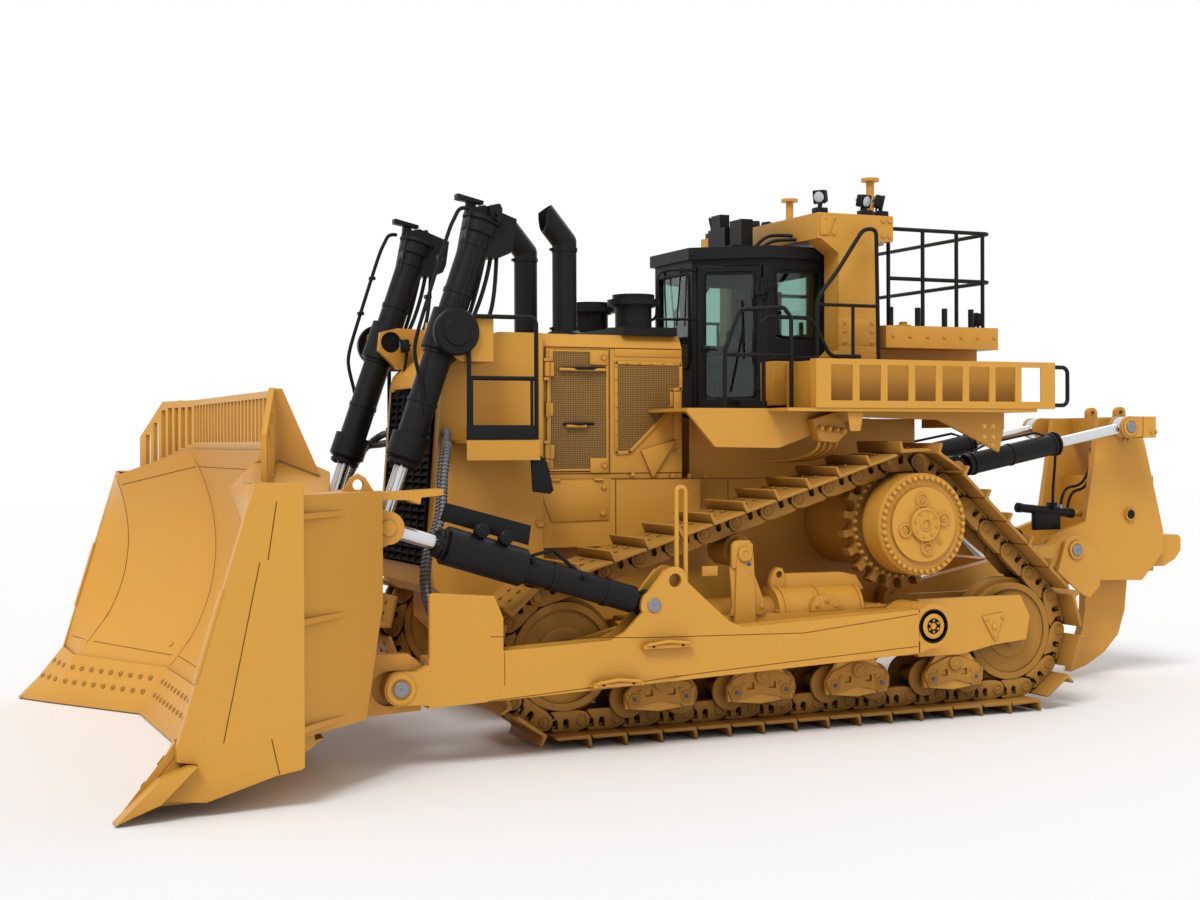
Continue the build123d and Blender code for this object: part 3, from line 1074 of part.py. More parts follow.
arm_middle = (ARM_INNER_Y + ARM_OUTER_Y) / 2
lug_gap = EYE_WIDTH / 2 + MOVING_GAP
LUG_THICKNESS = 44.0
with BuildPart() as blade:
    extrude(blade_face(blade_sections[0]), amount=2 * BLADE_CENTRE_Y)
    for first, second in zip(blade_sections, blade_sections[1:]):
        loft([blade_face(first), blade_face(second)], ruled=True)
    # End plate, a little proud of the rolled face.
    end_plate = [
        (4785, 2208), (5310, 470), (5310, 378), (5170, 352), (5400, 125), (5118, 95), (4880, 165), (4648, 235),
        (4475, 262), (BLADE_SLANT_X, 275), (BLADE_SLANT_X, 2205),
    ]
    side_prism(end_plate, BLADE_END_Y, BLADE_END_Y + END_PLATE_THICKNESS)
    # Tower behind each wing, with its slanting outer face.
    tower = [
        (TOWER_REAR_X, TOWER_INNER_Y), (TOWER_REAR_X, TOWER_OUTER_Y), (BLADE_SLANT_X, BLADE_END_Y + 5),
        (4700, BLADE_END_Y + 5), (4200, TOWER_INNER_Y),
    ]
    plan_prism(tower, 466, TOWER_TOP_Z)
    side_prism(
        [(3600, 1288), (TOWER_REAR_X, 1288), (3838, 466), (4300, 440), (4300, 400), (3600, 400)], 1700, 2900,
        mode=Mode.SUBTRACT,
    )
    pocket = lug_gap + LUG_THICKNESS + 15
    block((3600, 3790), (TILT_Y - pocket, TILT_Y + pocket), (1560, 2200), mode=Mode.SUBTRACT)
    # Lifting lug on top of the tower.
    side_prism(
        [(4000, 2000), (3960, 2120), (3900, 2220), (3845, 2250), (3790, 2220), (3690, 2060), (3690, 2000)],
        TOWER_OUTER_Y - 40, TOWER_OUTER_Y,
    )
    cross_pin(*LIFTING_HOLE, 42, TOWER_OUTER_Y - 50, TOWER_OUTER_Y + 10, mode=Mode.SUBTRACT)
    # Lugs for the tilt cylinder's eye, with pin ends outside, and the guard bar above them.
    for face in sides:
        low, high = sorted(TILT_Y + face * d for d in (lug_gap, lug_gap + LUG_THICKNESS))
        side_prism(
            [(TILT_FRONT_X, TILT_FRONT_Z + 124), (3850, TILT_FRONT_Z + 230), (3850, TILT_FRONT_Z - 230),
             (TILT_FRONT_X, TILT_FRONT_Z - 124)],
            low, high,
        )
        cross_pin(TILT_FRONT_X, TILT_FRONT_Z, 125, low, high)
        low, high = sorted(TILT_Y + face * d for d in (lug_gap + LUG_THICKNESS - 1, lug_gap + LUG_THICKNESS + 12))
        cross_pin(TILT_FRONT_X, TILT_FRONT_Z, TILT_PIN_RADIUS, low, high)
    side_prism(
        [(3800, 2050), (3420, 2045), (3330, 2010), (3320, 2062), (3145, 2078), (3145, 2126), (3800, 2095)],
        TILT_Y - 95, TILT_Y + 95,
    )
    # Lug beside the push arm's eye, recessed around it, and the pin.
    lug_low, lug_high = ARM_EYE_INNER_Y - 110, ARM_EYE_INNER_Y - 10
    side_prism([(4000, 900), (3400, 880), (3303, 800), (3303, 447), (3775, 426), (4000, 440)], lug_low, lug_high)
    with BuildSketch(Plane.XZ.offset(-lug_high)) as recess:
        with Locations((BLADE_PIN_X + 30, BLADE_PIN_Z)):
            SlotOverall(340, 262)
    extrude(recess.sketch, amount=40, mode=Mode.SUBTRACT)
    cross_pin(BLADE_PIN_X, BLADE_PIN_Z, BLADE_PIN_RADIUS, lug_low, ARM_OUTER_Y + 12)
    # Lugs for the lift cylinder's eye.
    for face in sides:
        low, high = sorted(LIFT_Y + face * d for d in (lug_gap, lug_gap + LUG_THICKNESS))
        side_prism(
            [(LIFT_EYE_X, LIFT_EYE_Z + 133), (BLADE_BACK_X + 20, LIFT_EYE_Z + 260), (BLADE_BACK_X + 20, LIFT_EYE_Z - 260),
             (LIFT_EYE_X, LIFT_EYE_Z - 133)],
            low, high,
        )
        cross_pin(LIFT_EYE_X, LIFT_EYE_Z, 135, low, high)
        low, high = sorted(LIFT_Y + face * d for d in (lug_gap + LUG_THICKNESS - 1, lug_gap + LUG_THICKNESS + 14))
        cross_pin(LIFT_EYE_X, LIFT_EYE_Z, TILT_PIN_RADIUS, low, high)
    # Gusset ribs between the slanting rear face and the end plate.
    for z in (527, 1258, 1977):
        plan_prism([(3990, 2600), (BLADE_SLANT_X + 10, BLADE_END_Y - 20), (BLADE_SLANT_X, BLADE_END_Y + 60)], z - 20, z + 20)
    mirror(about=Plane.XZ)
save(blade, "blade")

with BuildPart() as edges:
    extrude(edge_face(blade_sections[0]), amount=2 * BLADE_CENTRE_Y)
    for first, second in zip(blade_sections, blade_sections[1:]):
        loft([edge_face(first), edge_face(second)], ruled=True)
    # End bits outside the end plates.
    end_bit = [(BLADE_TIP_X, EDGE_BOTTOM), (5617, 50), (5425, 120), (5185, 352), (5240, 355), (5440, 270)]
    side_prism(end_bit, BLADE_END_Y + SEAT_GAP, BLADE_TIP_Y)
    mirror(about=Plane.XZ)
save(edges, "cutting_edges")

# Plan of the spill guard on the left side: (x, y) of its middle plane.
GUARD_PLAN = ((4290, 0), (4290, BLADE_CENTRE_Y), (4460, 2200), (4610, 2600))
# Its front view, as (y, z): along the top, down to the blade and back along the blade's top edge.
GUARD_VIEW = ((0, GUARD_TOP_Z), (2200, GUARD_TOP_Z - 12), (2600, 2540), (2600, 2179.4), (BLADE_CENTRE_Y, 2424.6))
GUARD_SLATS = 22
SLAT_WIDTH = 38.0
GUARD_BORDER = 65.0
WING_WINDOWS = 7
WING_WINDOW_WIDTH = 85.0
GUSSET_Y = 1900.0


def height_on(view, y):
    """Height of a front-view line at a distance from the centre line."""
    for (y0, z0), (y1, z1) in zip(view, view[1:]):
        if y0 <= y <= y1:
            return z0 + (z1 - z0) * (y - y0) / (y1 - y0)


guard_top = GUARD_VIEW[:3]
guard_foot = ((0, 2424.6), GUARD_VIEW[4], GUARD_VIEW[3])
slat_pitch = 2 * BLADE_CENTRE_Y / (GUARD_SLATS + 1)
with BuildPart() as guard:
    outline = [(x - GUARD_THICKNESS / 2, y) for x, y in GUARD_PLAN]
    outline += [(x + GUARD_THICKNESS / 2, y) for x, y in reversed(GUARD_PLAN)]
    plan_prism(outline, 2000, 3000)
    mirror(about=Plane.XZ)
    with BuildSketch(Plane.YZ.offset(3500)) as front:
        with BuildLine():
            Polyline(*GUARD_VIEW[1:], *[(-y, z) for y, z in reversed(GUARD_VIEW[1:])], close=True)
        make_face()
    extrude(front.sketch, amount=2000, mode=Mode.INTERSECT)
    with BuildSketch(Plane.YZ.offset(4000)) as slots:
        for n in range(GUARD_SLATS + 1):
            y = -BLADE_CENTRE_Y + (n + 0.5) * slat_pitch
            with Locations((y, (2424 + GUARD_TOP_Z) / 2)):
                Rectangle(slat_pitch - SLAT_WIDTH, GUARD_TOP_Z - 2424 - 2 * GUARD_BORDER)
        for n in range(WING_WINDOWS):
            y = BLADE_CENTRE_Y + 90 + n * 138
            high = height_on(guard_top, y + WING_WINDOW_WIDTH / 2) - GUARD_BORDER
            low = height_on(guard_foot, y) + GUARD_BORDER
            with Locations((y, (low + high) / 2), (-y, (low + high) / 2)):
                Rectangle(WING_WINDOW_WIDTH, high - low)
    extrude(slots.sketch, amount=1000, mode=Mode.SUBTRACT)
    # Triangular plates that brace the guard from behind.
    brace = [(4390, GUARD_TOP_Z - 8), (4310, GUARD_TOP_Z - 8), (4020, 2228), (4335, 2351), (4390, 2351)]
    for side in sides:
        side_prism(brace, *sorted((side * (GUSSET_Y - 30), side * GUSSET_Y)))
save(guard, "spill_guard")

# ------------------------------------------------------------------ ripper
arm_low, arm_high = RIPPER_ARM_INNER_Y, RIPPER_ARM_INNER_Y + RIPPER_ARM_THICKNESS
RIPPER_LUG_THICKNESS = 30.0
lift_lug = RIPPER_ROD_RADIUS + 5 + MOVING_GAP      # from the lift cylinder's plane to its lugs
with BuildPart() as ripper_arms:
    for side in sides:
        low, high = sorted((side * arm_low, side * arm_high))
        side_prism(
            [(LINK_FRONT_X, LINK_FRONT_Z + 110), (ARM_REAR_X, ARM_REAR_Z + 110), (ARM_REAR_X, ARM_REAR_Z - 110),
             (LINK_FRONT_X, LINK_FRONT_Z - 110)],
            low, high,
        )
        for x, z in ((LINK_FRONT_X, LINK_FRONT_Z), (ARM_REAR_X, ARM_REAR_Z)):
            cross_pin(x, z, RIPPER_EYE_RADIUS, low, high)
            cross_pin(x, z, RIPPER_PIN_RADIUS + SEAT_GAP, low - 1, high + 1, mode=Mode.SUBTRACT)
        for face in sides:
            near = side * RIPPER_LIFT_Y + face * lift_lug
            low, high = sorted((near, near + face * RIPPER_LUG_THICKNESS))
            side_prism(
                [(-3100, 1120), (-3100, 1300), (-3330, 1300), (-3560, 1130), (-3700, 1120),
                 (RIPPER_LIFT_EYE_X, RIPPER_LIFT_EYE_Z + 94), (RIPPER_LIFT_EYE_X, RIPPER_LIFT_EYE_Z - 94), (-3330, 1060)],
                low, high,
            )
            cross_pin(RIPPER_LIFT_EYE_X, RIPPER_LIFT_EYE_Z, 95, low, high)
    block((-3320, -3110), (-arm_high, arm_high), (1125, 1295))
save(ripper_arms, "ripper_arms")

ripper_side = [
    (-4580, 2700), (-5080, 2716), (-5181, 2425), (-5420, 1530), (-5420, 1300), (-5137, 1014), (-4483, 1037),
    (ARM_REAR_X - 60, 1265), (ARM_REAR_X, ARM_REAR_Z + 134), (-4400, 1640), (-4500, 2200),
]
# Plates outside the arms, in one with the frame, that carry the arms' rear pins.
CHEEK_INNER_Y = RIPPER_ARM_INNER_Y + RIPPER_ARM_THICKNESS + 2 * MOVING_GAP
CHEEK_OUTER_Y = CHEEK_INNER_Y + 35
CHEEK_EYE_RADIUS = 145.0
EYE_BOSS_X = -4990.0          # lifting eyes on top of the frame
EYE_BOSS_Y = 222.0
cheek_side = [
    (-4138, 1458), (-4413, 1249), (-4300, 1172), (-4287, 1012), (-4161, 896), (-4061, 940), (-3765, 1170),
    (-3865, 1465),
]
with BuildPart() as ripper_frame:
    for side in sides:
        low, high = sorted((side * RIPPER_FRAME_INNER_Y, side * RIPPER_FRAME_OUTER_Y))
        side_prism(ripper_side, low, high)
        cross_pin(ARM_REAR_X, ARM_REAR_Z, RIPPER_EYE_RADIUS, low, high)
        cross_pin(ARM_REAR_X, ARM_REAR_Z, 105, *sorted((side * (RIPPER_FRAME_OUTER_Y - 5), side * (arm_low - MOVING_GAP))))
        cross_pin(ARM_REAR_X, ARM_REAR_Z, RIPPER_PIN_RADIUS, *sorted((side * RIPPER_FRAME_OUTER_Y, side * (CHEEK_OUTER_Y + 12))))
        for face in sides:
            near = side * RIPPER_TOP_Y + face * lug_gap
            low, high = sorted((near, near + face * 36))
            side_prism([(TOP_REAR_X, TOP_REAR_Z + 108), (-4900, 2716), (-4900, 2520), (TOP_REAR_X, TOP_REAR_Z - 108)], low, high)
            cross_pin(TOP_REAR_X, TOP_REAR_Z, 110, low, high)
        y = side * RIPPER_TOP_Y
        cross_pin(TOP_REAR_X, TOP_REAR_Z, TILT_PIN_RADIUS, y - lug_gap - 40, y + lug_gap + 40)
        low, high = sorted((side * CHEEK_INNER_Y, side * CHEEK_OUTER_Y))
        side_prism(cheek_side, low, high)
        cross_pin(ARM_REAR_X, ARM_REAR_Z, CHEEK_EYE_RADIUS, low, high)
        block((-4340, -4250), sorted((side * (RIPPER_FRAME_OUTER_Y - 5), side * CHEEK_OUTER_Y)), (1190, 1300))
        low, high = sorted((side * (EYE_BOSS_Y - 30), side * (EYE_BOSS_Y + 30)))
        cross_pin(EYE_BOSS_X, 2765, 62, low, high)
        block((EYE_BOSS_X - 62, EYE_BOSS_X + 62), (low, high), (2710, 2765))
        cross_pin(EYE_BOSS_X, 2765, 26, low - 1, high + 1, mode=Mode.SUBTRACT)
    block((-5350, -4700), (-RIPPER_FRAME_INNER_Y - 1, RIPPER_FRAME_INNER_Y + 1), (1100, 2100))
    block((-4960, -4800), (-RIPPER_TOP_Y - 110, RIPPER_TOP_Y + 110), (2500, 2716))
    block((-5080, -4800), (-RIPPER_FRAME_OUTER_Y, RIPPER_FRAME_OUTER_Y), (2600, 2716))
    side_prism(
        [(-5300, 1150), (-5300, 1482), (-5690, 1473), (-5720, 1440), (-5720, 1310), (-5640, 1215), (-5493, 1145)],
        -RIPPER_FRAME_INNER_Y, RIPPER_FRAME_INNER_Y,
    )
    block(
        (SHANK_REAR_X - 4, SHANK_FRONT_X + 4), (-SHANK_THICKNESS / 2 - 4, SHANK_THICKNESS / 2 + 4), (900, 2200),
        mode=Mode.SUBTRACT,
    )
    cross_pin(SHANK_PIN_X, SHANK_PIN_Z, 60, -RIPPER_FRAME_OUTER_Y - 30, RIPPER_FRAME_OUTER_Y + 30)
save(ripper_frame, "ripper_frame")

shank_side = [
    (SHANK_FRONT_X, 2350), (SHANK_REAR_X, 2350), (SHANK_REAR_X, 1000), (-5206, 667), (-5119, 415), (-4931, 233),
    (-4700, 110), (-4490, 50), (-4515, 190), (-4640, 480), (-4680, 700), (-4690, 960), (-4740, 1050),
    (SHANK_FRONT_X, 1080),
]
with BuildPart() as shank:
    side_prism(shank_side, -SHANK_THICKNESS / 2, SHANK_THICKNESS / 2)
    cross_pin(SHANK_PIN_X, SHANK_PIN_Z, 60 + SEAT_GAP, -SHANK_THICKNESS, SHANK_THICKNESS, mode=Mode.SUBTRACT)
save(shank, "ripper_shank")

top_front, top_rear = (TOP_FRONT_X, TOP_FRONT_Z), (TOP_REAR_X, TOP_REAR_Z)
top_length = hypot(TOP_REAR_X - TOP_FRONT_X, TOP_REAR_Z - TOP_FRONT_Z)
TOP_GLAND = 1260.0
NECK_LENGTH = 155.0           # from a front pin to the wide part of its cylinder
NECK_RADIUS = 58.0


def on_top(distance, side):
    x, z = along(top_front, top_rear, distance)
    return (x, side * RIPPER_TOP_Y, z)


with BuildPart() as top_barrels:
    for side in sides:
        y = side * RIPPER_TOP_Y
        rod(on_top(80, side), on_top(NECK_LENGTH + 10, side), NECK_RADIUS)
        rod(on_top(NECK_LENGTH, side), on_top(TOP_GLAND, side), 105)
        cross_pin(TOP_FRONT_X, TOP_FRONT_Z, 120, y - 60, y + 60)
        cross_pin(TOP_FRONT_X, TOP_FRONT_Z, RIPPER_PIN_RADIUS + SEAT_GAP, y - 120, y + 120, mode=Mode.SUBTRACT)
        rod(on_top(500, side), on_top(TOP_GLAND + 5, side), 55 + SEAT_GAP, mode=Mode.SUBTRACT)
save(top_barrels, "ripper_tilt_barrels")

with BuildPart() as top_rods:
    for side in sides:
        y = side * RIPPER_TOP_Y
        rod(on_top(700, side), on_top(top_length, side), 55)
        cross_pin(TOP_REAR_X, TOP_REAR_Z, 105, y - 60, y + 60)
        cross_pin(TOP_REAR_X, TOP_REAR_Z, TILT_PIN_RADIUS + SEAT_GAP, y - 120, y + 120, mode=Mode.SUBTRACT)
save(top_rods, "ripper_tilt_rods")

ripper_lift_eye = (RIPPER_LIFT_EYE_X, RIPPER_LIFT_EYE_Z)
ripper_lift_length = hypot(RIPPER_LIFT_EYE_X - TOP_FRONT_X, RIPPER_LIFT_EYE_Z - TOP_FRONT_Z)
RIPPER_GLAND = 1160.0
BORE_START = NECK_LENGTH + 20.0
PISTON_START = BORE_START + 368.0     # the rod slides in by 355 and out by 590


def on_ripper_lift(distance, side):
    x, z = along(top_front, ripper_lift_eye, distance)
    return (x, side * RIPPER_LIFT_Y, z)


with BuildPart() as ripper_barrels:
    for side in sides:
        y = side * RIPPER_LIFT_Y
        rod(on_ripper_lift(80, side), on_ripper_lift(NECK_LENGTH + 10, side), NECK_RADIUS)
        rod(on_ripper_lift(NECK_LENGTH, side), on_ripper_lift(RIPPER_GLAND, side), RIPPER_BARREL_RADIUS)
        cross_pin(TOP_FRONT_X, TOP_FRONT_Z, 120, y - 60, y + 60)
        cross_pin(TOP_FRONT_X, TOP_FRONT_Z, RIPPER_PIN_RADIUS + SEAT_GAP, y - 100, y + 100, mode=Mode.SUBTRACT)
        rod(on_ripper_lift(BORE_START, side), on_ripper_lift(RIPPER_GLAND + 5, side), RIPPER_ROD_RADIUS + SEAT_GAP, mode=Mode.SUBTRACT)
save(ripper_barrels, "ripper_lift_barrels")

with BuildPart() as ripper_rods:
    for side in sides:
        y = side * RIPPER_LIFT_Y
        eye_half = RIPPER_ROD_RADIUS + 5
        rod(on_ripper_lift(PISTON_START, side), on_ripper_lift(ripper_lift_length, side), RIPPER_ROD_RADIUS)
        cross_pin(RIPPER_LIFT_EYE_X, RIPPER_LIFT_EYE_Z, 88, y - eye_half, y + eye_half)
        cross_pin(RIPPER_LIFT_EYE_X, RIPPER_LIFT_EYE_Z, 50, y - 100, y + 100, mode=Mode.SUBTRACT)
save(ripper_rods, "ripper_lift_rods")
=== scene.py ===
# %% [markdown]
# # A large crawler dozer, finished in Blender
# The tractor's real shapes (frames, tracks, cylinders, blade) come from the solid model, already at
# their true size and place. This lesson gives them their paint and steel, and then adds what a
# solid model leaves out: bolts, seams, hoses, lamps, gratings and the fine parts that catch light.
# Everything is in metres; x points forward, y to the machine's left and z up.

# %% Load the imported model
import math

import bpy
from mathutils import Matrix, Vector
from mathutils.bvhtree import BVHTree


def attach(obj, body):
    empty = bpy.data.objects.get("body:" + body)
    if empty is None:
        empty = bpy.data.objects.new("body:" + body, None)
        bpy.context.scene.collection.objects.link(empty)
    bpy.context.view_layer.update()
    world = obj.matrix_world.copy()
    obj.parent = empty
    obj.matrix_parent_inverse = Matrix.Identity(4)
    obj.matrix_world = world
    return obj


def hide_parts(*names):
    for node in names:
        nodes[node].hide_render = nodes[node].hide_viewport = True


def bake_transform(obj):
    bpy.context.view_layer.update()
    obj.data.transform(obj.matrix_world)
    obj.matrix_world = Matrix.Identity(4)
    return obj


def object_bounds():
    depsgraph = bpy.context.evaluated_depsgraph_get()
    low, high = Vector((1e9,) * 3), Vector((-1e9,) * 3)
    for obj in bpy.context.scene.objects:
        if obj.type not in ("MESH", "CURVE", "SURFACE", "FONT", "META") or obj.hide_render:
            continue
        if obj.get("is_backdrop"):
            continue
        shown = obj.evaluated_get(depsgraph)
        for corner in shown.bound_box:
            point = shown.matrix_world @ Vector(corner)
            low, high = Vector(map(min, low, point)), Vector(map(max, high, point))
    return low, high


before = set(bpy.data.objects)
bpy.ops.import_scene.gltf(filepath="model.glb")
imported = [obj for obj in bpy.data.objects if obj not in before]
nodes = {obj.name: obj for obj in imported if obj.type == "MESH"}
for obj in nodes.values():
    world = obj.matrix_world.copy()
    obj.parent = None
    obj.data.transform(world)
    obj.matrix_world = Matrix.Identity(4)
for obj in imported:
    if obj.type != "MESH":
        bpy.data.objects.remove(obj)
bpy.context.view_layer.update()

MM = 0.001
SIDES = (1, -1)

# %% [markdown]
# ## Camera
# A long lens from the front left, two and a half metres up, shows the blade and the whole running
# gear at once. The three angles turn a level camera: first round the vertical, then a hair down,
# then a hair of roll.

# %% Camera
CAMERA_PLACE = (7.371, 14.612, 2.470)
CAMERA_YAW, CAMERA_PITCH, CAMERA_ROLL = (math.radians(a) for a in (23.95, -0.24, -0.21))
look = Vector((
    -math.sin(CAMERA_YAW) * math.cos(CAMERA_PITCH),
    -math.cos(CAMERA_YAW) * math.cos(CAMERA_PITCH),
    math.sin(CAMERA_PITCH),
))
level = look.cross(Vector((0, 0, 1))).normalized()
upright = level.cross(look)
across = level * math.cos(CAMERA_ROLL) + upright * math.sin(CAMERA_ROLL)
above = upright * math.cos(CAMERA_ROLL) - level * math.sin(CAMERA_ROLL)
bpy.ops.object.select_all(action="DESELECT")
bpy.ops.object.camera_add()
camera = bpy.context.object
camera.name = "camera"
camera.matrix_world = Matrix.Translation(CAMERA_PLACE) @ Matrix((across, above,
                                                                 -look)).transposed().to_4x4()
camera.data.lens = 51.86
camera.data.sensor_width = 36.0
camera.data.clip_end = 200.0
bpy.context.scene.camera = camera
bpy.context.scene.view_settings.view_transform = "Standard"

# %% [markdown]
# ## Floor and light
# A pale floor that keeps the machine's shadow, a bright even sky, and one soft sun from the front
# and the left. The sky is a plain white to the camera and in reflections, but lights the paint at a
# lower level, so that colours come out about as they are written.

# %% Floor and light
bpy.ops.mesh.primitive_plane_add(size=120, location=(0, 0, -0.004))
floor = bpy.context.object
floor.name = "studio_floor"
floor_paint = bpy.data.materials.new("studio_floor")
floor_paint.use_nodes = True
floor_paint.node_tree.nodes["Principled BSDF"].inputs["Base Color"].default_value = (0.93, 0.93, 0.93, 1)
floor_paint.node_tree.nodes["Principled BSDF"].inputs["Roughness"].default_value = 0.95
floor.data.materials.append(floor_paint)
floor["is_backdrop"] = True

sky = bpy.data.worlds.new("studio_sky")
bpy.context.scene.world = sky
sky.use_nodes = True
SKY_LEVEL = 0.56
links = sky.node_tree.links
path = sky.node_tree.nodes.new("ShaderNodeLightPath")
seen = sky.node_tree.nodes.new("ShaderNodeMath")
seen.operation = "MAXIMUM"
also = sky.node_tree.nodes.new("ShaderNodeMath")
also.operation = "MAXIMUM"
strength = sky.node_tree.nodes.new("ShaderNodeMapRange")
strength.inputs["To Min"].default_value = SKY_LEVEL
strength.inputs["To Max"].default_value = 1.0
background = sky.node_tree.nodes["Background"]
background.inputs["Color"].default_value = (1, 1, 1, 1)
links.new(path.outputs["Is Camera Ray"], seen.inputs[0])
links.new(path.outputs["Is Transmission Ray"], seen.inputs[1])
links.new(path.outputs["Is Glossy Ray"], also.inputs[0])
links.new(seen.outputs[0], also.inputs[1])
links.new(also.outputs[0], strength.inputs["Value"])
links.new(strength.outputs["Result"], background.inputs["Strength"])


def add_sun(name, towards_light, power, softness):
    """A sun that shines from a direction, with a soft edge to its shadows."""
    bpy.ops.object.light_add(type="SUN")
    lamp = bpy.context.object
    lamp.name = name
    lamp.data.energy = power
    lamp.data.angle = math.radians(softness)
    lamp.rotation_euler = Vector(towards_light).to_track_quat("Z", "Y").to_euler()
    return lamp


add_sun("key_light", (0.55, 0.62, 1.0), 1.7, 22)
add_sun("rear_fill_light", (-0.8, -0.5, 0.7), 0.35, 40)

# %% [markdown]
# ## Materials: shared effects
# Two effects are wanted in nearly every finish, and both live in one small node group, "Coat". It makes
# paint that isn't quite even: broad clouds a few percent lighter and darker, a fine orange peel, and
# a softened edge that catches the light the way a rounded plate edge does. It also paints shade into
# the colour: an ambient occlusion measure darkens the paint where two plates meet and in recesses.

# %% Node group helpers


def new_group(name, inputs, outputs):
    """An empty shader node group with named sockets."""
    group = bpy.data.node_groups.new(name, "ShaderNodeTree")
    for label, kind, value in inputs:
        socket = group.interface.new_socket(name=label, in_out="INPUT", socket_type=kind)
        if value is not None:
            socket.default_value = value
    for label, kind in outputs:
        group.interface.new_socket(name=label, in_out="OUTPUT", socket_type=kind)
    return group, group.nodes.new("NodeGroupInput"), group.nodes.new("NodeGroupOutput")


def node(tree, kind, settings=None, **values):
    """A node with its settings and its unlinked input values."""
    made = tree.nodes.new("ShaderNode" + kind)
    for key, value in (settings or {}).items():
        setattr(made, key, value)
    for key, value in values.items():
        made.inputs[key.replace("_", " ")].default_value = value
    return made


# %% The coat group
coat, coat_in, coat_out = new_group(
    "Coat",
    [("Vector", "NodeSocketVector", None), ("Paint", "NodeSocketColor", (0.8, 0.4, 0.07, 1)),
     ("Clouds", "NodeSocketFloat", 0.05), ("Peel", "NodeSocketFloat", 0.04),
     ("Roughness", "NodeSocketFloat", 0.4), ("Corner Shade", "NodeSocketFloat", 0.35)],
    [("Color", "NodeSocketColor"), ("Roughness", "NodeSocketFloat"), ("Normal", "NodeSocketVector")],
)
wire = coat.links.new
clouds = node(coat, "TexNoise", Scale=0.9, Detail=4.0, Roughness=0.6)
fine = node(coat, "TexNoise", Scale=220.0, Detail=2.0)
wire(coat_in.outputs["Vector"], clouds.inputs["Vector"])
wire(coat_in.outputs["Vector"], fine.inputs["Vector"])
centred = node(coat, "Math", {"operation": "SUBTRACT"})
centred.inputs[1].default_value = 0.5
swing = node(coat, "Math", {"operation": "MULTIPLY_ADD"})
swing.inputs[2].default_value = 1.0
wire(clouds.outputs["Fac"], centred.inputs[0])
wire(centred.outputs[0], swing.inputs[0])
wire(coat_in.outputs["Clouds"], swing.inputs[1])
# Painted shade: ambient occlusion darkens the paint colour where plates meet and in recesses, down to one
# minus the corner amount.
shade_occlusion = node(coat, "AmbientOcclusion", {"samples": 6}, Distance=0.32)
floor_of = node(coat, "Math", {"operation": "SUBTRACT"})
floor_of.inputs[0].default_value = 1.0
wire(coat_in.outputs["Corner Shade"], floor_of.inputs[1])
shade = node(coat, "MapRange")
wire(shade_occlusion.outputs["AO"], shade.inputs["Value"])
wire(floor_of.outputs[0], shade.inputs["To Min"])
both = node(coat, "Math", {"operation": "MULTIPLY"})
wire(swing.outputs[0], both.inputs[0])
wire(shade.outputs["Result"], both.inputs[1])
tinted = node(coat, "VectorMath", {"operation": "SCALE"})
wire(coat_in.outputs["Paint"], tinted.inputs[0])
wire(both.outputs[0], tinted.inputs["Scale"])
wire(tinted.outputs[0], coat_out.inputs["Color"])
rough = node(coat, "Math", {"operation": "MULTIPLY_ADD"})
rough.inputs[1].default_value = 0.18
wire(centred.outputs[0], rough.inputs[0])
wire(coat_in.outputs["Roughness"], rough.inputs[2])
wire(rough.outputs[0], coat_out.inputs["Roughness"])
rounded = node(coat, "Bevel", {"samples": 4}, Radius=0.006)
peel = node(coat, "Bump", Distance=0.001)
wire(fine.outputs["Fac"], peel.inputs["Height"])
wire(coat_in.outputs["Peel"], peel.inputs["Strength"])
wire(rounded.outputs["Normal"], peel.inputs["Normal"])
wire(peel.outputs["Normal"], coat_out.inputs["Normal"])

# %% [markdown]
# ## Materials: the finishes
# Warm yellow enamel covers most of the machine, tracks included, because it has just left the
# paint shop. Cylinders, cab, rails and stacks are satin black. Rods are hard chrome, pins are bare
# ground steel, and hoses are rubber or wrapped in a grey coil.

# %% Finishes


def finish(name, paint, roughness, metallic=0.0, clouds=0.05, peel=0.04, corner=0.55, gloss=0.0,
           specular=0.28):
    """A painted or metal finish that uses the coat group with its own values."""
    made = bpy.data.materials.new(name)
    made.use_nodes = True
    tree = made.node_tree
    shader = tree.nodes["Principled BSDF"]
    place = tree.nodes.new("ShaderNodeTexCoord")
    group = tree.nodes.new("ShaderNodeGroup")
    group.node_tree = coat
    group.inputs["Paint"].default_value = (*paint, 1)
    group.inputs["Clouds"].default_value = clouds
    group.inputs["Peel"].default_value = peel
    group.inputs["Roughness"].default_value = roughness
    # The corner value sets how far painted shade darkens the colour in corners and recesses.
    group.inputs["Corner Shade"].default_value = corner
    tree.links.new(place.outputs["Object"], group.inputs["Vector"])
    for label in ("Roughness", "Normal"):
        tree.links.new(group.outputs[label], shader.inputs[label])
    tree.links.new(group.outputs["Color"], shader.inputs["Base Color"])
    shader.inputs["Metallic"].default_value = metallic
    shader.inputs["Coat Weight"].default_value = gloss
    shader.inputs["Specular IOR Level"].default_value = specular
    shader.inputs["Coat Roughness"].default_value = 0.25
    made.diffuse_color = (*paint, 1)
    return made


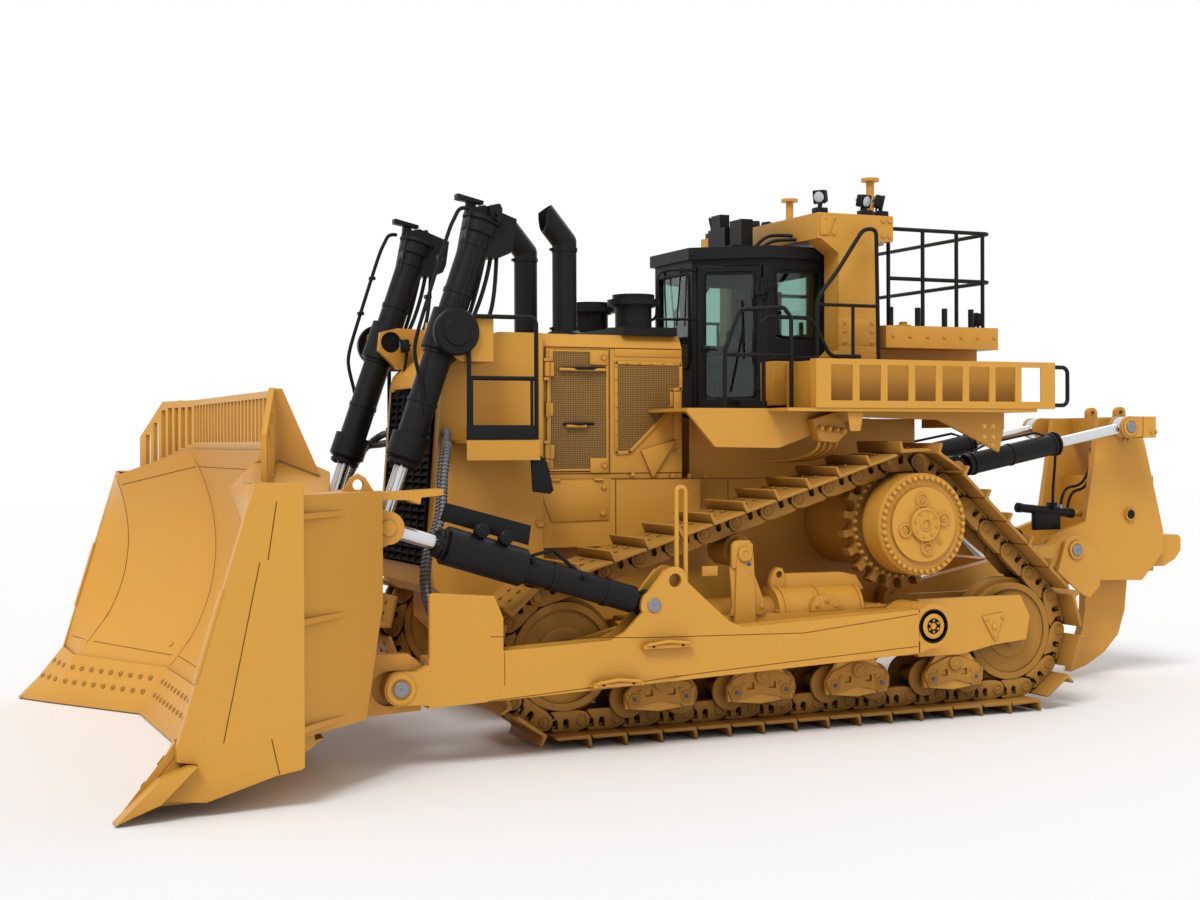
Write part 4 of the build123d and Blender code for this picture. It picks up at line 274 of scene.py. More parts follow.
yellow = finish("yellow_enamel", (0.665, 0.325, 0.046), 0.42, clouds=0.07, gloss=0.06)
# Painted shade: the running gear's finish is the yellow enamel made darker, for the shade it sits in, with a
# slightly browner tone and a stronger corner shade.
shaded_track_yellow = finish("shaded_track_yellow", (0.46, 0.225, 0.040), 0.55, clouds=0.2, peel=0.12, corner=0.8,
                      specular=0.2)
black = finish("black_satin", (0.009, 0.009, 0.0095), 0.42, clouds=0.25, corner=0.3, specular=0.16)
flat_black = finish("black_flat", (0.007, 0.007, 0.007), 0.7, clouds=0.2, corner=0.3, specular=0.1)
chrome = finish("hard_chrome", (0.66, 0.67, 0.69), 0.18, metallic=1.0, clouds=0.03, peel=0.0, corner=0.4)
pin_steel = finish("pin_steel", (0.26, 0.26, 0.29), 0.45, metallic=0.6, clouds=0.1)
rubber = finish("hose_rubber", (0.008, 0.008, 0.0085), 0.5, clouds=0.2, peel=0.1, specular=0.15)
coil_grey = finish("hose_coil", (0.16, 0.165, 0.175), 0.35, metallic=0.5, clouds=0.1)
trim = finish("dark_trim", (0.014, 0.014, 0.015), 0.6, clouds=0.2, peel=0.15, specular=0.15)
cloth = finish("seat_cloth", (0.05, 0.052, 0.056), 0.9, clouds=0.3, peel=0.4)
seam_brown = finish("seam_shadow", (0.13, 0.055, 0.008), 0.8, clouds=0.2)
# Near black: painted shade for the inside of holes.
hole_shade_black = finish("bolt_hole_shade", (0.01, 0.008, 0.006), 0.9, clouds=0.0)
lamp_silver = finish("lamp_glass", (0.55, 0.57, 0.6), 0.12, clouds=0.1, gloss=1.0)
blue_plug = finish("blue_plug", (0.04, 0.10, 0.26), 0.4, clouds=0.0)
bright_steel = finish("bright_steel", (0.42, 0.43, 0.45), 0.35, metallic=0.8, clouds=0.1)
engine_paint = finish("engine_paint", (0.42, 0.20, 0.035), 0.6, clouds=0.4, corner=0.8)

# %% Tinted glass
glass = bpy.data.materials.new("cab_glass")
glass.use_nodes = True
pane = glass.node_tree.nodes["Principled BSDF"]
pane.inputs["Base Color"].default_value = (0.44, 0.62, 0.56, 1)
pane.inputs["Roughness"].default_value = 0.03
pane.inputs["IOR"].default_value = 1.45
pane.inputs["Transmission Weight"].default_value = 1.0

# %% Give each solid its finish
FINISHES = (
    (black, "air_precleaners cab_roof_unit cab_shell cab_door_left cab_door_right exhaust_stacks"),
    (black, "handrails lift_barrels tilt_barrels ripper_lift_barrels ripper_tilt_barrels"),
    (flat_black, "radiator_grille"),
    (trim, "operator_station"),
    (chrome, "lift_rods tilt_rods ripper_lift_rods ripper_tilt_rods"),
    (shaded_track_yellow, "track_left track_right track_rollers carrier_rollers idlers sprockets"),
    (engine_paint, "engine_block"),
    (glass, "cab_glass"),
)
finish_of = {name: material for material, names in FINISHES for name in names.split()}
for name, solid in nodes.items():
    solid.data.materials.clear()
    solid.data.materials.append(finish_of.get(name, yellow))
print("finished", len(nodes), "solids")

# %% [markdown]
# ## A small tool box
# Most details on a machine like this are one of four things: a plate cut to an outline, a turned
# part such as a boss or a bolt, a bent tube, or many copies of one of these. Each gets a helper
# that does what a person would do with the menus: add a primitive, shape it in edit mode, apply
# its modifiers. Sizes are given in millimetres and scaled once, so they can be checked against
# a drawing.

# %% Selection, edges and surfaces


def start():
    """Back to object mode with nothing selected."""
    if bpy.context.mode != "OBJECT":
        bpy.ops.object.mode_set(mode="OBJECT")
    bpy.ops.object.select_all(action="DESELECT")


def pick(piece):
    """Only this piece, selected and active."""
    start()
    piece.select_set(True)
    bpy.context.view_layer.objects.active = piece
    return piece


def apply_modifier(piece, kind, **settings):
    """Give a piece a modifier and apply it at once."""
    pick(piece)
    step = piece.modifiers.new(kind.lower(), kind)
    for key, value in settings.items():
        setattr(step, key, value)
    bpy.ops.object.modifier_apply(modifier=step.name)
    return piece


def soften(piece, width, segments=2):
    """Break every sharp edge of a piece by a width in millimetres."""
    return apply_modifier(
        piece, "BEVEL", width=width * MM, segments=segments, limit_method="ANGLE",
                          angle_limit=math.radians(30)
    )


def outwards(piece):
    """Turn every face of a closed piece to the outside."""
    pick(piece)
    bpy.ops.object.mode_set(mode="EDIT")
    bpy.ops.mesh.select_all(action="SELECT")
    bpy.ops.mesh.normals_make_consistent(inside=False)
    bpy.ops.object.mode_set(mode="OBJECT")
    return piece


def done(piece, name, body, material, smooth=35):
    """Name a finished piece, shade it, and say what it rides on and what it is made of.

    With no body, the piece is left unattached."""
    pick(piece)
    piece.name = piece.data.name = name
    piece.data.materials.clear()
    piece.data.materials.append(material)
    for face in piece.data.polygons:
        face.material_index = 0
    bpy.ops.object.shade_smooth_by_angle(angle=math.radians(smooth))
    if body:
        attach(piece, body)
    return piece


# %% Blocks, plates and turned parts


def block(x, y, z, edge=0.0):
    """A block between two values on each axis, with its edges broken."""
    start()
    centre = [(low + high) / 2 * MM for low, high in (x, y, z)]
    bpy.ops.mesh.primitive_cube_add(size=1, location=centre)
    piece = bpy.context.object
    piece.scale = [abs(high - low) * MM for low, high in (x, y, z)]
    bpy.ops.object.transform_apply(location=True, rotation=True, scale=True)
    return soften(piece, edge) if edge else piece


def plate(outline, near, far, edge=0.0, plane="XZ"):
    """A plate cut to an outline of corners and given its thickness along the remaining axis."""
    start()
    bpy.ops.mesh.primitive_circle_add(vertices=len(outline), radius=1, fill_type="NGON")
    piece = bpy.context.object
    for corner, (a, b) in zip(piece.data.vertices, outline):
        place = {"XZ": (a, near, b), "XY": (a, b, near), "YZ": (near, a, b)}[plane]
        corner.co = Vector(place) * MM
    along = {"XZ": (0, 1, 0), "XY": (0, 0, 1), "YZ": (1, 0, 0)}[plane]
    pick(piece)
    bpy.ops.object.mode_set(mode="EDIT")
    bpy.ops.mesh.select_all(action="SELECT")
    bpy.ops.mesh.extrude_region_move(TRANSFORM_OT_translate={"value": [(far - near) * MM * k for k in along]})
    bpy.ops.object.mode_set(mode="OBJECT")
    outwards(piece)
    return soften(piece, edge) if edge else piece


def turned(rings, sides=32):
    """A turned part on the z axis: a disc extruded and resized through (height, radius) rings."""
    start()
    height, radius = rings[0]
    bpy.ops.mesh.primitive_circle_add(
        vertices=sides, radius=radius * MM, fill_type="NGON", location=(0, 0, height * MM)
    )
    piece = bpy.context.object
    bpy.ops.object.transform_apply(location=True, rotation=True, scale=True)
    bpy.ops.object.mode_set(mode="EDIT")
    bpy.ops.mesh.select_all(action="SELECT")
    for next_height, next_radius in rings[1:]:
        bpy.ops.mesh.extrude_region_move(
            TRANSFORM_OT_translate={"value": (0, 0, (next_height - height) * MM)}
        )
        grow = next_radius / radius
        bpy.ops.transform.resize(value=(grow, grow, 1), center_override=(0, 0, 0))
        height, radius = next_height, next_radius
    bpy.ops.object.mode_set(mode="OBJECT")
    return outwards(piece)


def arc(centre, radius, first, last, steps=8):
    """Corners along an arc, in degrees, for an outline."""
    turns = [math.radians(first + (last - first) * n / steps) for n in range(steps + 1)]
    return [(centre[0] + radius * math.cos(t), centre[1] + radius * math.sin(t)) for t in turns]


def cut(piece, cutter):
    """Cut one closed piece out of another."""
    apply_modifier(piece, "BOOLEAN", operation="DIFFERENCE", object=cutter, solver="EXACT")
    bpy.data.objects.remove(cutter, do_unlink=True)
    return piece


# %% Copies


def at(place, outward=(0, 1, 0), turn=0.0, size=1.0):
    """Where a master on the z axis goes: its foot at a place and its axis pointing outward."""
    aim = Vector(outward).normalized().to_track_quat("Z", "Y").to_matrix().to_4x4()
    spin = Matrix.Rotation(math.radians(turn), 4, "Z")
    return Matrix.Translation(Vector(place) * MM) @ aim @ spin @ Matrix.Scale(size, 4)


MIRROR = Matrix.Diagonal((1, -1, 1, 1))


def joined(parts):
    """Several pieces made one."""
    start()
    for part in parts:
        part.select_set(True)
    bpy.context.view_layer.objects.active = parts[0]
    if len(parts) > 1:
        bpy.ops.object.join()
    return bpy.context.object


def copies(master, places, keep=False):
    """The master's mesh at each place, every copy with its own mesh, joined into one piece."""
    twins = []
    for place in places:
        twin = master.copy()
        twin.data = master.data.copy()
        twin.data.transform(place)
        if place.determinant() < 0:
            twin.data.flip_normals()
        bpy.context.collection.objects.link(twin)
        twins.append(twin)
    if not keep:
        bpy.data.objects.remove(master, do_unlink=True)
    return joined(twins)


def both_sides(piece):
    """A piece and its mirror image on the machine's other side."""
    return copies(piece, [Matrix.Identity(4), MIRROR])


# %% Tubes and hoses


def tube(points, radius, order=2, rounds=3, steps=6):
    """A round tube through points: order 2 runs straight, 3 or 4 bends like a hose."""
    if len(points) == 2:
        points = [points[0], tuple((a + b) / 2 for a, b in zip(*points)), points[1]]
    start()
    bpy.ops.curve.primitive_nurbs_path_add()
    piece = bpy.context.object
    piece.data.splines.clear()
    line = piece.data.splines.new("NURBS")
    line.points.add(len(points) - 1)
    for knot, place in zip(line.points, points):
        knot.co = (*(Vector(place) * MM), 1)
    line.use_endpoint_u = True
    line.order_u = min(order, len(points))
    line.resolution_u = steps if order > 2 else 1
    piece.data.dimensions = "3D"
    piece.data.bevel_depth = radius * MM
    piece.data.bevel_resolution = rounds
    piece.data.use_fill_caps = True
    bpy.ops.object.convert(target="MESH")
    piece = bpy.context.object
    pick(piece)
    bpy.ops.object.mode_set(mode="EDIT")
    bpy.ops.mesh.select_all(action="SELECT")
    bpy.ops.mesh.remove_doubles(threshold=0.00001)
    bpy.ops.mesh.normals_make_consistent(inside=False)
    bpy.ops.object.mode_set(mode="OBJECT")
    return piece


def bent(points, bend, radius, steps=5):
    """A pipe with a true bend of a given size at each corner."""
    path = [points[0]]
    for before, here, after in zip(points, points[1:], points[2:]):
        before, here, after = Vector(before), Vector(here), Vector(after)
        reach = min(bend, (before - here).length * 0.45, (after - here).length * 0.45)
        a, b = here + (before - here).normalized() * reach, here + (after - here).normalized() * reach
        for t in (n / steps for n in range(steps + 1)):
            path.append(tuple(a * (1 - t) ** 2 + here * 2 * t * (1 - t) + b * t * t))
    return tube(path + [points[-1]], radius)


# %% Bolts


def bolt_head(radius=16, height=13, washer=22):
    """A hexagon head on its washer, standing on z = 0."""
    washer_disc = turned([(-2, washer), (3, washer), (4, washer - 2)], 16)
    head = turned([(3, radius * 1.15), (height - 2, radius * 1.15), (height, radius * 0.95)], 6)
    return joined([washer_disc, head])


print("tool box ready")

# %% [markdown]
# ## The track chain
# In the solid model each track is one smooth band, which is what the physics needs. A real chain
# is forty shoes bolted to forty pairs of links, pinned end to end, and its light and shadow come
# from that: the gap at every joint, the pockets that show the nuts, the grouser bar on every shoe.
# One shoe and one link are modelled flat and then laid along the same loop as the band.

# %% Where the links lie
FRONT_IDLER = (1920, 725, 530)            # x, z and radius of the pin line round each wheel
SPROCKET = (-1400, 1741, 545)
REAR_IDLER = (-2535, 725, 530)
WHEELS = (FRONT_IDLER, SPROCKET, REAR_IDLER)
SHOE_COUNT = 40
HALF_GAUGE = 1445
HALF_SHOE = 355
STRAND_Y = 109                            # a link strand's middle from the track's centre line
LINK_HALF = 34
SHOE_LOW, SHOE_TOP, BAR_TOP = 90, 120, 195    # outside the pin line
RAIL_LEVEL = -85


def leaving(wheel, following):
    """Direction in which the loop faces on the run from one wheel to the next."""
    dx, dz = following[0] - wheel[0], following[1] - wheel[1]
    return math.atan2(dz, dx) - math.acos((wheel[2] - following[2]) / math.hypot(dx, dz))


run_facing = [leaving(w, WHEELS[(i + 1) % 3]) for i, w in enumerate(WHEELS)]


def on_wheel(wheel, facing):
    return wheel[0] + wheel[2] * math.cos(facing), wheel[1] + wheel[2] * math.sin(facing)


def stations(count, phase):
    """Evenly spaced places on the pin line, each with the direction it faces."""
    stretches = []
    for i, wheel in enumerate(WHEELS):
        first, last = run_facing[i - 1], run_facing[i]
        last += 2 * math.pi * (last < first)
        stretches.append((wheel, first, last, wheel[2] * (last - first)))
        a, b = on_wheel(wheel, last), on_wheel(WHEELS[(i + 1) % 3], run_facing[i])
        stretches.append((None, (a, b), last, math.dist(a, b)))
    total = sum(stretch[-1] for stretch in stretches)
    found = []
    for n in range(count):
        left = total * ((n + phase) % count) / count
        for wheel, first, last, length in stretches:
            if left <= length:
                break
            left -= length
        if wheel:
            facing = first + (last - first) * left / length
            found.append((*on_wheel(wheel, facing), facing))
        else:
            (ax, az), (bx, bz) = first
            found.append((ax + (bx - ax) * left / length, az + (bz - az) * left / length, last))
    return found, total / count


shoe_places, PITCH = stations(SHOE_COUNT, 1.0)
HALF = PITCH / 2
print("chain pitch", round(PITCH, 1), "mm")


def on_chain(station, y=0.0):
    """The place of a link: x along the chain, z out of it."""
    x, z, facing = station
    return Matrix.Translation(Vector((x, y, z)) * MM) @ Matrix.Rotation(math.pi / 2 - facing, 4, "Y")


# %% One shoe with its grouser bar and four bolts
shoe = plate(
    [(4 - HALF, 92), (HALF - 8, SHOE_LOW), (HALF - 3, 116), (HALF + 6, BAR_TOP), (HALF - 16, BAR_TOP + 2),
     (HALF - 32, SHOE_TOP + 8), (HALF - 52, SHOE_TOP), (30 - HALF, SHOE_TOP), (8 - HALF, SHOE_TOP - 10)],
    -HALF_SHOE, HALF_SHOE, edge=4,
)
shoe_bolt = turned([(0, 19), (13, 19), (16, 16)], 6)
bolt_places = [
    at((u, side * STRAND_Y, SHOE_TOP), (0, 0, 1)) for u in (-78, 22) for side in SIDES
]
shoe = joined([shoe, copies(shoe_bolt, bolt_places)])

# %% One link with its two nut pockets
link_outline = (
    [(70 - HALF, RAIL_LEVEL), (HALF - 42, RAIL_LEVEL)]
    + arc((HALF, 0), 76, -68, 68, 7)
    + [(HALF - 40, SHOE_LOW), (78 - HALF, SHOE_LOW)]
    + arc((-HALF, 0), 85, 58, -58, 6)
)
link = plate(link_outline, -LINK_HALF, LINK_HALF, edge=5)
pocket_outline = arc((0, 8), 26, 180, 360, 6) + [(26, 62), (-26, 62)]
for u in (-78, 22):
    pocket = plate([(u + a, b) for a, b in pocket_outline], -2 * LINK_HALF, 2 * LINK_HALF)
    cut(link, pocket)
nut = turned([(38, 19), (60, 19)], 6)
nuts = copies(nut, [at((u, 0, 0), (0, 0, 1)) for u in (-78, 22)])
pin_end = turned([(LINK_HALF - 4, 48), (LINK_HALF + 7, 47), (LINK_HALF + 9, 40), (LINK_HALF + 3, 37),
                  (LINK_HALF + 3, 17), (LINK_HALF + 8, 14)], 14)
pin_ends = copies(pin_end, [at((HALF, 0, 0), (0, side, 0)) for side in SIDES])
link = joined([link, nuts, pin_ends])
link_places = [Matrix.Translation((0, side * STRAND_Y * MM, 0)) for side in SIDES]
segment = joined([shoe, copies(link, link_places)])
print("one segment", len(segment.data.polygons), "faces")

# %% Lay both chains
for side, name in ((1, "left"), (-1, "right")):
    chain = copies(segment, [on_chain(s, side * HALF_GAUGE) for s in shoe_places], keep=True)
    done(chain, f"track_chain_{name}", "tractor", shaded_track_yellow)
    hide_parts(f"track_{name}")
bpy.data.objects.remove(segment, do_unlink=True)

# %% [markdown]
# ## Final drives
# The drum in each sprocket is a gear case closed with a ring of bolts, close together because the
# torque is enormous. On its face are the hub cover and four bosses over the planet shafts.

# %% Drive covers
DRIVE_X, DRIVE_Z = SPROCKET[:2]
COVER_FACE_Y = 1850
INNER_FACE_Y = 1880                       # the raised middle of the cover
HUB_FACE_Y = 1905
BOSS_PLACES = ((27, 215), (-200, 40), (-27, -215), (200, -50))


def ring_of(count, radius, y, first=0.0, x=DRIVE_X, z=DRIVE_Z, size=1.0):
    """Places on a bolt circle that faces the machine's left."""
    found = []
    for n in range(count):
        turn = math.radians(first + 360 * n / count)
        found.append(at((x + radius * math.cos(turn), y, z + radius * math.sin(turn)), (0, 1, 0),
                        size=size))
    return found


rim_bolt = turned([(-3, 27), (6, 27), (7, 22), (26, 21), (32, 14)], 12)
rim = copies(rim_bolt, ring_of(42, 414, COVER_FACE_Y + 8), keep=True)
flange = copies(rim_bolt, ring_of(42, 478, HALF_GAUGE + 61, 3, size=0.85))
rim_ring = turned([(-40, 452), (0, 452), (10, 446), (10, 388), (2, 380), (2, 300)], 64)
rim_ring = copies(rim_ring, [at((DRIVE_X, COVER_FACE_Y, DRIVE_Z))])
drive_rims = both_sides(joined([rim, flange, rim_ring]))
done(drive_rims, "final_drive_bolts", "tractor", yellow)

boss = turned([(-5, 66), (10, 64), (18, 58), (18, 50), (8, 45), (8, 22), (16, 19), (16, 9), (10, 8)], 28)
boss_places = [at((DRIVE_X + dx, INNER_FACE_Y, DRIVE_Z + dz)) for dx, dz in BOSS_PLACES]
bosses = copies(boss, boss_places)
webs = []
for dx, dz in BOSS_PLACES:
    reach, turn = math.hypot(dx, dz), math.atan2(dz, dx)
    web = plate([(60, -52), (reach - 10, -58), (reach - 10, 58), (60, 52)], 0, 12, edge=5)
    webs.append(copies(web, [Matrix.Translation((DRIVE_X * MM, (INNER_FACE_Y - 4) * MM, DRIVE_Z * MM))
                             @ Matrix.Rotation(-turn, 4, "Y")]))
plug = turned([(-4, 26), (4, 25), (4, 17), (12, 16), (12, 7), (6, 6)], 16)
plug = copies(plug, [at((DRIVE_X - 165, INNER_FACE_Y, DRIVE_Z - 160))])
hub = turned([(-12, 152), (0, 150), (8, 144), (8, 128), (2, 124), (2, 60), (12, 54), (12, 42), (-8, 38)],
             40)
hub = copies(hub, [at((DRIVE_X, HUB_FACE_Y, DRIVE_Z))])
hub_bolt = turned([(-2, 9), (8, 9), (9, 7)], 6)
hub_bolts = copies(hub_bolt, ring_of(8, 108, HUB_FACE_Y + 2, 12))
faces = both_sides(joined([bosses, plug, hub, hub_bolts] + webs))
done(faces, "final_drive_bosses", "tractor", yellow)

# %% [markdown]
# ## Wheels, bogies and the roller frame
# Rollers hang in pairs from rocking bogies. From outside one sees their end caps, each with a blue
# plug, and the cast plates between them, so those caps and plates carry the rhythm along the
# bottom of the frame.

# %% Idler hubs and roller caps
ROLLERS_X = (1352, 876, 398, -80, -568, -1040, -1583, -2046)
ROLLER_Z = 355
CAP_Y = HALF_GAUGE + 274

cap = block((-66, 66), (-8, 26), (-66, 66), edge=14)
cap_ring = copies(turned([(22, 52), (32, 50), (34, 42), (29, 38), (29, 22), (36, 20)], 24), [at((0, 0, 0))])
cap = joined([cap, cap_ring])
cap_turns = [Matrix.Translation((x * MM, CAP_Y * MM, ROLLER_Z * MM)) @ Matrix.Rotation(math.radians(24), 4,
                                                                                       "Y")
             for x in ROLLERS_X]
caps = both_sides(copies(cap, cap_turns))
done(caps, "roller_caps", "tractor", shaded_track_yellow)
blue = turned([(30, 17), (40, 16), (41, 9)], 12)
blue_places = [at((x, CAP_Y, ROLLER_Z)) for x in ROLLERS_X] + [at((305, HALF_GAUGE + 312, 1440), size=1.1)]
blues = both_sides(copies(blue, blue_places))
done(blues, "roller_plugs", "tractor", blue_plug)

# %% [markdown]
# ## Finding places on the solids
# Seams, bolts and wear plates have to sit on the blade's curved face. A ray sent at a solid gives
# the exact point and the way the surface faces there, so a seam can be laid by asking for a few
# places along it.

# %% Rays at the solids


def surface_of(*names):
    """A searchable copy of some solids' surfaces."""
    graph = bpy.context.evaluated_depsgraph_get()
    return [BVHTree.FromObject(nodes[name], graph) for name in names]


def hit(surfaces, source, direction):
    """The nearest point that a ray meets, in millimetres, and its outward direction."""
    best = None
    for surface in surfaces:
        place, facing, _, distance = surface.ray_cast(Vector(source) * MM, Vector(direction).normalized())
        if place is not None and (best is None or distance < best[0]):
            if facing.dot(Vector(direction)) > 0:
                facing = -facing
            best = (distance, place / MM, facing)
    return (best[1], best[2]) if best else (None, None)


def laid_seam(surfaces, sources, direction, radius=4, sink=1.5):
    """A thin bead laid along the places where rays meet the surface."""
    places = []
    for source in sources:
        place, facing = hit(surfaces, source, direction)
        if place is not None:
            places.append(tuple(place - facing * sink))
    return tube(places, radius, rounds=1)


def between(a, b, count):
    """Evenly spaced places from one to another."""
    return [tuple(p + (q - p) * n / (count - 1) for p, q in zip(a, b)) for n in range(count)]


# %% [markdown]
# ## Blade
# The blade is a welded shell with bolted cutting edges. What reads from afar are the seams where the
# wings meet the middle, the rows of plough bolts along the cutting edges and the wear strips on
# top of the wings.

# %% Blade seams
BLADE_MIDDLE_Y = 1538
FRONT = 7000                              # a place well in front of the blade, to send rays back from
blade_shell = surface_of("blade")
seams = []
for side in SIDES:
    y = side * BLADE_MIDDLE_Y
    seams.append(laid_seam(blade_shell, between((FRONT, y, 2330), (FRONT, y, 430), 24), (-1, 0, 0)))
    y = side * 2640
    seams.append(laid_seam(blade_shell, between((FRONT, y, 2120), (FRONT, y, 560), 18), (-1, 0, 0)))
    seams.append(laid_seam(blade_shell, between((FRONT, side * 1600, 520), (FRONT, side * 2960, 600), 12),
                           (-1, 0, 0)))
    seams.append(laid_seam(blade_shell, between((FRONT, side * 1570, 2262), (FRONT, side * 2600, 2080), 12),
                           (-1, 0, 0)))
seams.append(laid_seam(blade_shell, between((FRONT, -1500, 2262), (FRONT, 1500, 2262), 8), (-1, 0, 0)))
seams.append(laid_seam(blade_shell, between((FRONT, -1500, 520), (FRONT, 1500, 520), 8), (-1, 0, 0)))
OUTSIDE = 5000
for side in SIDES:
    for a, b in (((4756, 1676), (5003, 482)), ((4680, 485), (4627, 245)), ((4640, 2080), (4700, 1690))):
        run = between((a[0], side * OUTSIDE, a[1]), (b[0], side * OUTSIDE, b[1]), 6)
        seams.append(laid_seam(blade_shell, run, (0, -side, 0)))
blade_seams = joined(seams)
done(blade_seams, "blade_seams", "blade", seam_brown)

# %% Plough bolts along the cutting edges
edge_plates = surface_of("cutting_edges")
bolt = turned([(-6, 23), (6, 23), (11, 17), (11, 9), (6, 7)], 14)
for corner in bolt.data.vertices:
    corner.co.x *= 1.25
places = []
foot_and_tip = {0: ((4553, 407), (4816, 8)), 1538: ((4553, 407), (4816, 8)), 2646: ((5230, 440), (5490, 8)),
                3030: ((5290, 480), (5700, 8))}
stops = sorted(foot_and_tip)


def edge_line(y):
    """Foot and tip of the cutting edge at a distance from the middle of the blade."""
    for near, far in zip(stops, stops[1:]):
        if near <= abs(y) <= far:
            share = (abs(y) - near) / (far - near)
            return [
                tuple(p + (q - p) * share for p, q in zip(a, b))
                for a, b in zip(foot_and_tip[near], foot_and_tip[far])
            ]
    return foot_and_tip[stops[-1]]


bolt_rows = [(n * 160 + 80) * side for n in range(9) for side in SIDES]
bolt_rows += [(1640 + n * 118) * side for n in range(9) for side in SIDES]
bolt_rows += [(2740 + n * 120) * side for n in range(3) for side in SIDES]
for y in bolt_rows:
    (foot_x, foot_z), (tip_x, tip_z) = edge_line(y)
    for share in (0.26, 0.55):
        x, z = foot_x + (tip_x - foot_x) * share, foot_z + (tip_z - foot_z) * share
        place, facing = hit(edge_plates, (x + 600, y, z + 395), (-0.835, 0, -0.55))
        if place is not None and facing.x > 0.2:
            places.append(at(tuple(place), facing))
edge_bolts = copies(bolt, places)
done(edge_bolts, "cutting_edge_bolts", "blade", shaded_track_yellow)
print(len(places), "plough bolts")

# %% Wear strips on the wings, bolt heads on top and the end plates' front strips
strips = []
for side in SIDES:
    low, high = (2646, 3024)
    strip = plate([(4600, 2188), (4776, 2200), (4776, 2214), (4600, 2202)], side * low, side * high, edge=3)
    strips.append(strip)
    front = plate([(4992, 1500), (5012, 1500), (5196, 884), (5176, 884)], side * 3026, side * 3104, edge=3)
    strips.append(front)
    for n in range(5):
        y = side * (1700 + n * 210)
        place, facing = hit(blade_shell, (4500, y, 3000), (0, 0, -1))
        if place is not None:
            strips.append(copies(turned([(-3, 26), (8, 26), (13, 18)], 6), [at(tuple(place), facing)]))
wear_strips = joined(strips)
done(wear_strips, "blade_wear_strips", "blade", yellow)

# %% [markdown]
# ## Push arms and pins
# Each push arm is a long box welded from plates. Its seams, the ends of the pins in bare ground
# steel, the bearing cap over the trunnion and the two steps bolted to its side are what give it
# scale.

# %% Bare pin ends
ARM_FACE_Y = 2190
pin_ends_on = {
    "push_arms": (((1385, 2196, 1171), 58),),
    "blade": (((3489, 2202, 627), 60), ((3583, 2186, 1838), 56)),
}
for body, ends in pin_ends_on.items():
    discs = []
    for place, radius in ends:
        disc = turned([(-8, radius), (0, radius), (4, radius - 4), (4, 12), (1, 10)], 32)
        discs.append(copies(disc, [at(place)]))
    done(both_sides(joined(discs)), f"pin_ends_{body}", body, pin_steel)

# %% Collars round the pins
collars = (                               # place, outer and inner radius, height
    ((1385, 2150, 1171), 112, 78, 22),
    ((1197, 2130, 1364), 100, 62, 26),
    ((3489, 2188, 627), 118, 76, 12),
)
made = []
for place, outer, inner, height in collars:
    ring = turned([(-10, outer), (height - 6, outer), (height, outer - 6), (height, inner + 4),
                   (height - 5, inner), (-6, inner)], 40)
    made.append(copies(ring, [at(place)]))
done(both_sides(joined(made)), "pin_collars_push_arms", "push_arms", yellow)

# %% Trunnion caps
cap = turned([(-30, 128), (-4, 128), (-4, 112), (6, 108), (12, 96), (12, 70), (2, 66), (2, 30), (8, 26),
              (8, 6)], 44)
cap = copies(cap, [at((-1287, 2176, 880))])
cap_bolt = turned([(0, 11), (9, 11), (11, 8)], 6)
cap_bolts = copies(cap_bolt, ring_of(6, 48, 2180, 30, -1287, 880))
trunnion_caps = both_sides(joined([cap, cap_bolts]))
done(trunnion_caps, "trunnion_caps", "tractor", yellow)
seal = turned([(-6, 146), (1, 146), (3, 140), (3, 131), (-3, 129)], 44)
seals = both_sides(copies(seal, [at((-1287, 2183, 880))]))
done(seals, "trunnion_seals", "push_arms", flat_black)

# %% Seams along the arms
arm_shells = surface_of("push_arm_left", "push_arm_right")
seams = []
for side in SIDES:
    for run in (
        ((3262, 1020), (1800, 925), (900, 905), (0, 885), (-1120, 992)),
        ((3200, 470), (2000, 545), (900, 610), (0, 660), (-1120, 716)),
        ((-1140, 1010), (-1140, 700)),
        ((2660, 860), (2660, 480)),
    ):
        sources = []
        for a, b in zip(run, run[1:]):
            sources += between((a[0], side * 3000, a[1]), (b[0], side * 3000, b[1]), 4)
        seams.append(laid_seam(arm_shells, sources, (0, -side, 0), radius=3.5))
arm_seams = joined(seams)
done(arm_seams, "push_arm_seams", "push_arms", seam_brown)

# %% Steps with a bent bar over each bracket
steps = []
for x, z in ((1288, 846), (1724, 566)):
    bar = tube([(x + 214, ARM_FACE_Y - 6, z - 10), (x + 200, ARM_FACE_Y + 62, z + 12),
                (x + 120, ARM_FACE_Y + 66, z + 40),
                (x - 120, ARM_FACE_Y + 66, z + 40), (x - 200, ARM_FACE_Y + 62, z + 12),
                (x - 214, ARM_FACE_Y - 6, z - 10)], 14, rounds=3)
    feet = [block((x + dx - 18, x + dx + 18), (ARM_FACE_Y - 4, ARM_FACE_Y + 60), (z - 12, z + 34), edge=6)
            for dx in (-130, 130)]
    steps.append(joined([bar] + feet))
arm_steps = both_sides(joined(steps))
done(arm_steps, "push_arm_steps", "push_arms", yellow)

# %% [markdown]
# ## Cylinders
# Hydraulic cylinders are plain tubes with a few turned parts: the gland held by a ring of bolts, clamp
# bands that carry hard lines, and an elbow where each hose leaves. The lift cylinders also carry
# a small upright pipe and a bracket for the hoses at their upper ends.

# %% Places along a cylinder


def direction(a, b):
    """From one (x, z) place to another, as a unit vector in the machine's side view."""
    run = Vector((b[0] - a[0], 0, b[1] - a[1]))
    return run.normalized()


def on_line(a, b, distance, y, off=0.0):
    """A place along a cylinder's axis, moved off it square to the axis and upwards."""
    run = direction(a, b)
    side = Vector((-run.z, 0, run.x)) if run.x > 0 else Vector((run.z, 0, -run.x))
    place = Vector((a[0], y, a[1])) + run * distance + side * off
    return tuple(place)


